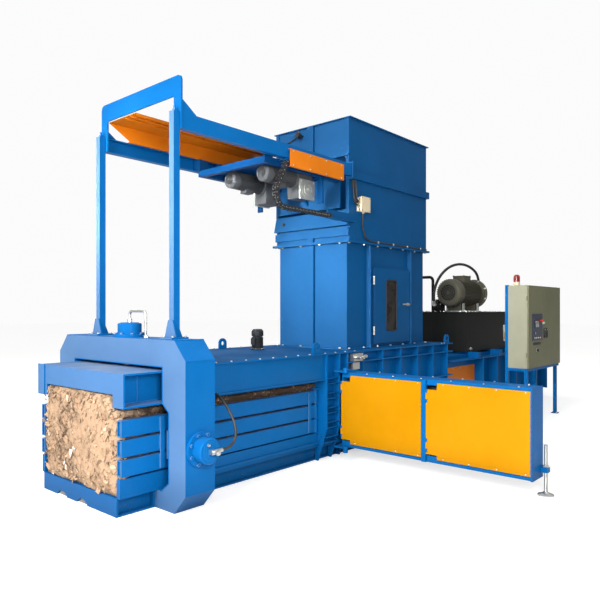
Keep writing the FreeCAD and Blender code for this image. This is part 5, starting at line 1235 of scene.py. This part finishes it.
sizes = {
    "Link length": 0.0735,
    "Link height": 0.044,
    "Chain width": 0.046,
    "Plate": 0.004,
    "Window": 0.0085,
}
plan = Pattern("energy_chain_links", sizes)
length, tall, wide, plate, window = (plan.given(label) for label in sizes)
outline = plan.node("GeometryNodeCurvePrimitiveQuadrilateral", (), {"Width": length, "Height": tall})
sockets = {"Curve": outline, "Radius": tall * 0.36, "Count": 4}
outline = plan.node("GeometryNodeFilletCurve", {"mode": "POLY"}, sockets)
hole = plan.node("GeometryNodeCurvePrimitiveCircle", (), {"Resolution": 10, "Radius": window})
skin = plan.node("GeometryNodeFillCurve", (), {"Curve": plan.joined(outline, hole)})
sockets = {"Mesh": skin, "Offset Scale": plate, "Individual": False}
walls = plan.node("GeometryNodeExtrudeMesh", {"mode": "FACES"}, sockets)
under = plan.node("GeometryNodeFlipFaces", (), {"Mesh": skin})
side_plate = lying(plan, plan.joined(walls, under))
near_side = plan.moved(side_plate, y=wide * -0.5 + plate)
far_side = plan.moved(side_plate, y=wide * 0.5)
pin = lying(plan, plan.rod(12, window * 0.55, wide * 1.03))
pin = plan.moved(pin, x=length * 0.34)
bar = plan.node("GeometryNodeMeshCube", (), {"Size": plan.vector(0.014, wide * 0.96, 0.005)})
top_bar, low_bar = plan.moved(bar, z=tall * 0.5 - 0.0025), plan.moved(bar, z=tall * -0.5 + 0.0025)
link = plan.joined(near_side, far_side, top_bar, low_bar, pin)
odd = plan.sum("MODULO", plan.node("GeometryNodeInputIndex"), 2.0)
narrow = plan.vector(1.0, 1.0 - odd * 0.19, 1.0)
chain = along_chain(plan, "energy_chain_links", link, chain_black, narrow)
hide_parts("energy_chain")
plan = Pattern("energy_chain_pins", {"Pin radius": 0.0058, "Pin length": 0.0485})
pin = lying(plan, plan.rod(12, plan.given("Pin radius"), plan.given("Pin length")))
along_chain(plan, "energy_chain_pins", plan.moved(pin, x=-0.025), zinc)

# --- Junction box, cables and level sensor ---
# A cream moulded box with four side glands; its black cables are clipped along the joint flange and
# up to the tray.  The level sensor looks down into the tower from its front rim.
cream = painted("cream_enamel", (0.62, 0.53, 0.36), dusty=0.1, worn=0.1, rough=0.45)
coat(cream, "junction_box")
coat(hose_rubber, "service_cables")
black_moulding = Finish("black_moulding", (0.02, 0.02, 0.021), 0.5)
moulded = black_moulding.cloud(160.0)
black_moulding.set("Roughness", 0.42 + moulded * 0.2)
black_moulding.relief(moulded, 0.0003, 0.4)
coat(black_moulding, "level_sensor")
gland_x, gland_y = -0.706, -0.584
glands = Workpiece("junction_glands")
nut = [(0, 0), (0.0145, 0), (0.016, 0.002), (0.016, 0.010), (0.012, 0.012), (0.012, 0.018)]
nut += [(0, 0.018)]
for z in (2.652, 2.688, 2.724, 2.760):
    glands.turned("-X", (gland_x, gland_y, z), nut, black_moulding, 12)
lid_screw = [(0, 0), (0.006, 0), (0.006, 0.0012), (0.004, 0.002), (0, 0.002)]
for x in (-0.698, -0.559):
    for z in (2.638, 2.777):
        glands.turned("-Y", (x, -0.6238, z), lid_screw, black_moulding, 12)
glands.placed("machine", "black_plastic")
clips = Workpiece("cable_clips")
for x in (-0.30, 0.02, 0.34, 0.66):
    clips.box((x - 0.011, -0.5745, 2.3015), (x + 0.011, -0.5515, 2.3265), zinc, 0.004)
clips.placed("machine", "bright_steel")
sensor_lead = [(-0.880, 0.178, 3.560), (-0.862, 0.230, 3.548), (-0.845, 0.320, 3.530)]
sensor_lead += [(-0.844, 0.440, 3.508), (-0.844, 0.505, 3.480), (-0.844, 0.522, 3.420)]
sensor_lead += [(-0.844, 0.522, 3.330), (-0.844, 0.522, 3.275)]
first_lead = [(-0.772, -0.578, 2.965), (-0.782, -0.596, 2.900), (-0.780, -0.600, 2.820)]
first_lead += [(-0.757, -0.592, 2.750), (-0.718, gland_y, 2.724)]
second_lead = [(-0.812, -0.570, 2.965), (-0.822, -0.588, 2.880), (-0.816, -0.594, 2.780)]
second_lead += [(-0.780, -0.590, 2.706), (-0.718, gland_y, 2.688)]
leads = Workpiece("tower_cable_leads")
for lead, radius in ((sensor_lead, 0.0075), (first_lead, 0.0085), (second_lead, 0.0085)):
    leads.tube(lead, radius, hose_rubber, 12)
leads.placed("machine", "black_rubber")
turn_knob = [(0, 0), (0.012, 0), (0.012, 0.008), (0.019, 0.010), (0.020, 0.022), (0.014, 0.028)]
turn_knob += [(0, 0.028)]
slope = Euler((0, -radians(74), 0)).to_matrix()
knob = Workpiece("sloping_panel_knob")
knob.turned(slope, (-0.868, 0.40, 2.545), turn_knob, black_moulding, 24)
knob.placed("machine", "black_plastic")

# --- Needle box ---
# A folded blue box that stands out from the near wall and holds the wire needles.  Four yellow sheet
# guards close its sides, each on two pin hinges; bright screws hold its cap strips.
coat(blue, "needle_box")
coat(trolley_paint, "needle_carriage")
yellow = painted("yellow_enamel", (0.47, 0.200, 0.0002), dusty=0.05, worn=0.12, rough=0.3)
coat(yellow, "guard_front_inner", "guard_front_outer", "guard_rear_inner", "guard_rear_outer")
cap_row = []
for x in (-1.295, -1.073):
    cap_row += row((x, -1.10, 0.9003), (x, -2.60, 0.9003), 6)
bolts("needle_box_cap_screws", cap_row, "+Z", 0.0075, zinc)
for label, x, facing in (("front", -1.3052, "-X"), ("rear", -1.0588, "+X")):
    for part, near_end, far_end in (("inner", -0.960, -1.670), ("outer", -1.925, -2.660)):
        body = f"{label}_{part}_guard"
        spots = []
        for z in (0.861, 0.199):
            spots += row((x, near_end, z), (x, far_end, z), 4)
        bolts(body + "_screws", spots, facing, 0.0045, zinc, body)
box_seams = [((-1.300, -2.7135, z), (-1.068, -2.7135, z)) for z in (0.900, 0.150)]
welds("needle_box_welds", box_seams, blue, 0.0025)

# --- Jack foot ---
# A plated steel spindle with a trapezoid thread and a round foot plate, held by a lock nut.  It
# carries the needle box's outer end.
threaded = Finish("plated_thread", (0.74, 0.74, 0.72), 0.28, metal=1.0)
thread_pitch = 0.004
wave = threaded.sum("SINE", threaded.height() * (2 * pi / thread_pitch))
cut = threaded.height().ramp(0.03, 0.031)
threaded.relief(wave * cut * 0.5, 0.0012, 0.8)
# The plating is banded light and dark at the thread's pitch: painted light and shade on the thread.
threaded.mottled((wave * 0.5 + 0.5) * cut, (0.70, 0.70, 0.68), (0.42, 0.41, 0.38))
coat(threaded, "jack_foot")
bore = 0.0143
lock_nut = [(bore, 0), (0.026, 0), (0.027, 0.002), (0.027, 0.012), (0.025, 0.014), (bore, 0.014)]
spindle = Workpiece("jack_foot_lock_nut")
spindle.turned("+Z", (-1.080, -2.742, 0.2325), lock_nut + lock_nut[:1], zinc, 6)
spindle.placed("machine", "bright_steel")

# --- Wire twister ---
# A welded steel housing opposite the needles, sprayed blue.  Eight zinc-plated screws hold its flat
# cover on the far side, which three pressed ribs stiffen.
coat(trolley_paint, "wire_twister")
cover_spots = []
for z in (0.16, 0.40, 0.64, 0.875):
    cover_spots += [(-1.258, 0.9702, z), (-1.072, 0.9702, z)]
bolts("twister_cover_bolts", cover_spots, "+Y", 0.008, zinc)
twister_cover = Workpiece("twister_cover_ribs")
for z in (0.28, 0.52, 0.76):
    twister_cover.box((-1.235, 0.9695, z - 0.012), (-1.095, 0.978, z + 0.012), trolley_paint, 0.004)
twister_cover.placed("machine", "blue_paint")

# --- Roof motor ---
# A small motor of dark enamelled castings that stands on the roof plate.  Its flange is held by six
# screws, fins run down its housing, and its cowl's round air holes are black discs on top: painted
# shade.
dark_cast = painted("dark_cast_enamel", (0.020, 0.022, 0.024), dusty=0.55, worn=0.4, rough=0.5)
roof_at = (-1.490, 0.225)


def disc(radius, tall):
    """The profile of a flat round plate."""
    return [(0, 0), (radius, 0), (radius, tall), (0, tall)]


roof_unit = Workpiece("roof_motor_housing")
standing = [(0, 0), (0.076, 0), (0.076, 0.012), (0.066, 0.015), (0.050, 0.018), (0.050, 0.145)]
standing += [(0.064, 0.150), (0.066, 0.155), (0.066, 0.200), (0.060, 0.214), (0.045, 0.224)]
standing += [(0.030, 0.229), (0, 0.230)]
roof_unit.turned("+Z", (*roof_at, 1.093), standing, dark_cast, 40)
# Black discs on the cowl's top stand in for its air holes: painted shade.
for hole in round_spots((*roof_at, 1.3165), "Z", 0.046, 10):
    roof_unit.turned("+Z", hole, disc(0.007, 0.0035), shadow_black, 8)
roof_unit.box((-1.566, 0.195, 1.150), (-1.535, 0.255, 1.222), dark_cast, 0.006)
roof_unit.placed("machine", "grey_motor", ["roof_motor"])
fin_sizes = (0.048, 0.063, 0.0025, 0.118)
cooling_fins("roof_motor_fins", (*roof_at, 1.173), fin_sizes, 26, dark_cast, facing="+Z")
flange_spots = round_spots((*roof_at, 1.1052), "Z", 0.0685, 6, 30)
bolts("roof_motor_bolts", flange_spots, "+Z", 0.0055, zinc)

# --- Hydraulic tank ---
# A welded oil tank in charcoal enamel with a bolted lid, sight gauge, breather and drain plug.  The
# valve block on its lid feeds the riser pipe and the pump hose.
charcoal = painted("charcoal_enamel", (0.013, 0.013, 0.012), dusty=0.35, worn=0.3, rough=0.42)
coat(charcoal, "hydraulic_tank")
lid_z = 1.5012
lid_spots = []
for side, x in ((-1, 1.985), (1, 3.708)):
    lid_spots += row((1.99, side * 0.553, lid_z), (3.70, side * 0.553, lid_z), 18)
    lid_spots += row((x, -0.46, lid_z), (x, 0.46, lid_z), 8)
bolts("tank_lid_bolts", lid_spots, "+Z", 0.0135, zinc)
oil_glass = Finish("gauge_glass", (0.42, 0.27, 0.05), 0.08, coat=0.8)
oil_level = oil_glass.height().ramp(1.17, 1.172)
oil_glass.mottled(oil_level, (0.42, 0.25, 0.03), (0.6, 0.62, 0.6))
tank_trim = Workpiece("tank_gauge_and_plugs")
tank_trim.box((3.285, -0.572, 1.03), (3.355, -0.5645, 1.29), zinc, 0.003)
tank_trim.tube([(3.32, -0.577, z) for z in (1.045, 1.16, 1.275)], 0.009, oil_glass, 16)
for z in (1.042, 1.278):
    tank_trim.box((3.300, -0.592, z - 0.012), (3.340, -0.570, z + 0.012), zinc, 0.004)
hex_plug = [(0, 0), (0.024, 0), (0.024, 0.006), (0.017, 0.007), (0.017, 0.020), (0.015, 0.022)]
hex_plug += [(0, 0.022)]
for x in (2.10, 3.60):
    tank_trim.turned("-Y", (x, -0.5645, 0.965), hex_plug, zinc, 6)
breather = [(0, -0.006), (0.050, -0.006), (0.052, 0), (0.052, 0.014), (0.046, 0.022)]
breather += [(0.02, 0.026), (0, 0.026)]
tank_trim.turned("+Z", (3.460, 0.405, 1.591), breather, black_moulding, 32)
tank_trim.turned("+Z", (3.460, 0.405, 1.501), disc(0.066, 0.006), zinc, 32)
tank_trim.placed("machine", "bright_steel")
valve_spots = [(2.0125, y, z) for y in (-0.128, -0.032) for z in (1.514, 1.617)]
bolts("valve_block_bolts", valve_spots, "-X", 0.008, zinc)
solenoids = Workpiece("valve_solenoids")
for y in (-0.115, -0.045):
    solenoids.box((2.060, y - 0.024, 1.631), (2.122, y + 0.024, 1.672), black_moulding, 0.006)
solenoids.placed("machine", "black_plastic")

# --- Pump motor ---
# A large flanged motor on two bright feet, sprayed olive grey.  Air enters the round grille in the
# cowl's end and leaves over the cast fins; the pump is bolted to the drive end.
olive_grey = painted("olive_grey_enamel", (0.098, 0.093, 0.068), dusty=0.35, worn=0.3, rough=0.42)
motor_y, motor_z = -0.290, 1.786
pump_unit = Workpiece("pump_motor_housing")
housing = [(0, 0.006), (0.124, 0.006), (0.128, 0), (0.146, 0), (0.174, 0.010), (0.192, 0.027)]
housing += [(0.202, 0.048), (0.205, 0.068), (0.205, 0.148), (0.201, 0.155), (0.186, 0.157)]
housing += [(0.186, 0.166), (0.164, 0.172), (0.164, 0.780), (0.183, 0.788), (0.193, 0.800)]
housing += [(0.193, 0.839), (0.219, 0.841), (0.223, 0.845), (0.223, 0.866), (0.219, 0.870)]
housing += [(0.128, 0.876), (0.112, 0.930), (0.105, 0.945), (0.105, 0.975), (0.079, 0.977)]
housing += [(0.079, 1.060), (0.076, 1.064), (0.076, 1.076), (0.079, 1.080), (0.079, 1.180)]
housing += [(0.062, 1.210), (0, 1.210)]
pump_unit.turned("+X", (1.940, motor_y, motor_z), housing, olive_grey, 64)
cowl_grille(pump_unit, (1.9405, motor_y, motor_z), 0.119, olive_grey, 16)
# Black slanted bars round the cowl stand in for its air slots: painted shade.
slits, slit_circle = 28, 0.1945
for k in range(slits):
    angle = radians(-50 + 280 * k / (slits - 1))
    u, v = slit_circle * sin(angle), slit_circle * cos(angle)
    at = Vector((1.974, motor_y + u, motor_z + v))
    lean = Euler((-angle, 0, 0)).to_matrix() @ Euler((0, radians(52), 0)).to_matrix()
    low, high = at - Vector((0.010, 0.006, 0.001)), at + Vector((0.010, 0.006, 0.0015))
    pump_unit.box(low, high, shadow_black, 0.0008, (lean, at))
foot_x = (2.140, 2.620)
for x in foot_x:
    pump_unit.box((x, -0.460, 1.501), (x + 0.070, -0.120, 1.521), machined, 0.004)
    pump_unit.box((x + 0.004, -0.395, 1.520), (x + 0.066, -0.185, 1.640), olive_grey, 0.012)
    for y in (-0.428, -0.167):
        pump_unit.box((x + 0.006, y, 1.520), (x + 0.064, y + 0.015, 1.632), machined, 0.004)
pump_unit.box((2.272, -0.383, 1.945), (2.498, -0.197, 2.030), olive_grey, 0.012)
pump_unit.box((2.268, -0.386, 2.028), (2.502, -0.194, 2.050), olive_grey, 0.007)
port = [(0, -0.1), (0.028, -0.1), (0.028, 0.024), (0.034, 0.026), (0.034, 0.040), (0.028, 0.044)]
port += [(0, 0.044)]
pump_unit.turned("+Z", (2.986, motor_y, 1.846), port, zinc, 24)
eye = round_spots((2.560, motor_y, 1.995), "X", 0.026, 20)
pump_unit.tube(eye + eye[:1], 0.0065, zinc, 10, 1)
eye_foot = [(0, 0), (0.020, 0), (0.020, 0.024), (0.012, 0.028), (0, 0.028)]
pump_unit.turned("+Z", (2.560, motor_y, 1.945), eye_foot, zinc, 16)
pump_unit.placed("machine", "grey_motor", ["pump_motor"])
fin_sizes = (0.162, 0.1905, 0.005, 0.60)
cooling_fins("pump_motor_fins", (2.418, motor_y, motor_z), fin_sizes, 46, olive_grey)
ring_spots = round_spots((2.7798, motor_y, motor_z), "X", 0.207, 8, 22.5)
bolts("pump_flange_bolts", ring_spots, "-X", 0.012, zinc)
foot_spots = [(x + 0.035, y, 1.5212) for x in foot_x for y in (-0.446, -0.134)]
foot_spots += [(x, y, 2.0503) for x in (2.280, 2.490) for y in (-0.374, -0.206)]
bolts("pump_motor_bolts", foot_spots, "+Z", 0.0085, zinc)

# --- Pipe fittings ---
# The top jack's bent steel pipe and its unions, all zinc-plated; a hexagon nut clamps the pipe at
# each end.
coat(zinc, "pipe_fittings")
bore = 0.0112
hexagon = [(bore, 0), (0.019, 0), (0.021, 0.002), (0.021, 0.018), (0.019, 0.020), (bore, 0.020)]
pipe_nuts = Workpiece("top_pipe_nuts")
for y, z in ((-0.235, 1.3005), (0.0, 1.4345)):
    pipe_nuts.turned("+Z", (ring_mid, y, z), hexagon + hexagon[:1], zinc, 6)
pipe_nuts.placed("machine", "bright_steel")

# --- Control cabinet ---
# A folded sheet cabinet in cream-grey enamel, on a blue stand that is bolted to the floor; its two
# doors are a darker olive copy of that enamel: painted shade.  Black swing handles close the doors,
# and a black rubber strip shows in each gap, darkening it: a rubber seal and painted shade.
cabinet_paint = painted("cabinet_enamel", (0.285, 0.285, 0.205), dusty=0.12, worn=0.12, rough=0.38)
coat(cabinet_paint, "control_cabinet")
# The doors' darker olive enamel is painted shade.
shaded_door_paint = painted("shaded_cabinet_door_enamel", (0.172, 0.172, 0.105), dusty=0.12, worn=0.12, rough=0.38)
coat(shaded_door_paint, "cabinet_door_left", "cabinet_door_right")
coat(blue, "cabinet_stand")
door_y = -1.5045
for body, x in (("cabinet_left", 2.4685), ("cabinet_right", 2.5585)):
    handle = Workpiece(body + "_handle")
    handle.box((x - 0.002, door_y, 1.137), (x + 0.032, -1.4885, 1.273), black_moulding, 0.006)
    handle.box((x + 0.006, -1.5085, 1.150), (x + 0.024, -1.5035, 1.235), black_moulding, 0.002)
    handle.turned("-Y", (x + 0.015, door_y, 1.255), disc(0.008, 0.003), zinc, 16)
    handle.placed(body, "black_plastic")
# Black strips in the gap between the doors: a rubber seal, and painted shade that darkens the gap.
seal = Workpiece("cabinet_door_seal")
for x in (2.5270, 2.5300):
    seal.box((x - 0.0008, -1.4868, 0.748), (x + 0.0008, -1.470, 1.857), sealing, 0.0005)
seal.placed("machine", "black_rubber")
plug = [(0, 0), (0.014, 0), (0.013, 0.004), (0, 0.005)]
lugs = Workpiece("cabinet_lifting_plugs")
for x, y in ((1.96, -1.44), (3.10, -1.44), (3.10, -1.26)):
    lugs.turned("+Z", (x, y, 1.8638), plug, black_moulding, 20)
lugs.placed("machine", "black_plastic")
anchors = []
for x, y in ((1.923, -1.232), (2.963, -1.232), (1.923, -1.447), (3.060, -1.447)):
    anchors += [(x - 0.034, y - 0.034, 0.0102), (x + 0.034, y + 0.034, 0.0102)]
bolts("stand_anchor_bolts", anchors, "+Z", 0.009, zinc)

# --- Control panel and switches ---
# A navy moulded fascia with a grey screen and a row of keys; a red mushroom button, a lit start
# button and a black selector sit in turned rings.
navy = Finish("navy_fascia", (0.012, 0.022, 0.055), 0.35, coat=0.3)
fine = navy.cloud(240.0)
navy.set("Roughness", 0.3 + fine * 0.18)
navy.relief(fine, 0.0002, 0.4)
coat(navy, "control_panel")
red = Finish("red_plastic", (0.62, 0.010, 0.008), 0.25, coat=0.5)
red.mottled(red.cloud(40.0), (0.52, 0.008, 0.007), (0.70, 0.014, 0.010))
coat(red, "stop_button")
green = Finish("green_lens", (0.55, 0.80, 0.55), 0.15, coat=0.7)
green.mottled(green.cloud(50.0), (0.45, 0.74, 0.47), (0.66, 0.88, 0.66))
coat(green, "start_button")
coat(black_moulding, "selector_switch")
screen = Finish("screen_glass", (0.24, 0.25, 0.23), 0.12, coat=0.8)
screen.mottled(screen.cloud(9.0), (0.19, 0.20, 0.185), (0.30, 0.31, 0.29))
key_cream = Finish("key_caps", (0.6, 0.58, 0.5), 0.4)
key_cream.mottled(key_cream.cloud(70.0), (0.52, 0.50, 0.43), (0.68, 0.66, 0.58))
fascia = Workpiece("panel_screen_and_keys")
fascia.box((2.117, door_y, 1.287), (2.251, -1.5015, 1.388), black_moulding, 0.0012)
fascia.box((2.125, -1.5058, 1.295), (2.243, -1.5030, 1.380), screen, 0.001)
key_shape = [(0, 0), (0.0125, 0), (0.0125, 0.003), (0.011, 0.0045), (0, 0.005)]
keys = [(2.080 + 0.066 * k, 1.150, key_cream) for k in range(4)]
keys += [(2.344, 1.150, red), (2.102, 1.213, zinc)]
for x, z, finish in keys:
    fascia.turned("-Y", (x, -1.5068, z), key_shape, finish, 24)
fascia.box((2.065, -1.4915, 1.050), (2.355, -1.4885, 1.086), black_moulding, 0.001)
fascia.placed("cabinet_left", "black_plastic")
collar = [(0.0215, 0), (0.029, 0), (0.029, 0.003), (0.027, 0.005), (0.0225, 0.005)]
collar += [(0.0215, 0.004), (0.0215, 0)]
small_collar = [(0.0176, 0), (0.024, 0), (0.024, 0.003), (0.022, 0.005), (0.0185, 0.005)]
small_collar += [(0.0176, 0)]
rings = Workpiece("switch_rings")
rings.turned("-Y", (2.431, -1.489, 1.350), collar, zinc, 32)
rings.turned("-Y", (2.203, -1.489, 0.977), small_collar, zinc, 32)
rings.placed("cabinet_left", "bright_steel")

# --- Beacon ---
# A red signal lamp with a ribbed lens on a cream moulded foot, screwed to the cabinet's roof.
lens = Finish("red_lens", (0.20, 0.004, 0.004), 0.12, coat=0.8)
rib_pitch = 0.0065
ribs = lens.sum("SINE", lens.height() * (2 * pi / rib_pitch))
lens.relief(ribs, 0.0012, 0.5)
lens.mottled(ribs * 0.5 + 0.5, (0.13, 0.003, 0.003), (0.28, 0.008, 0.007))
foot = [(0, 0), (0.046, 0), (0.046, 0.010), (0.043, 0.014), (0.043, 0.046), (0.040, 0.052)]
foot += [(0, 0.052)]
dome = [(0, 0.050), (0.0415, 0.050), (0.042, 0.056), (0.042, 0.116), (0.039, 0.128), (0.033, 0.140)]
dome += [(0.022, 0.147), (0.010, 0.1497), (0, 0.150)]
signal = Workpiece("beacon_lamp")
for profile, finish, sides in ((foot, cream, 40), (dome, lens, 48)):
    signal.turned("+Z", (1.973, -1.300, 1.864), profile, finish, sides)
signal.placed("machine", "red_plastic", ["beacon"])
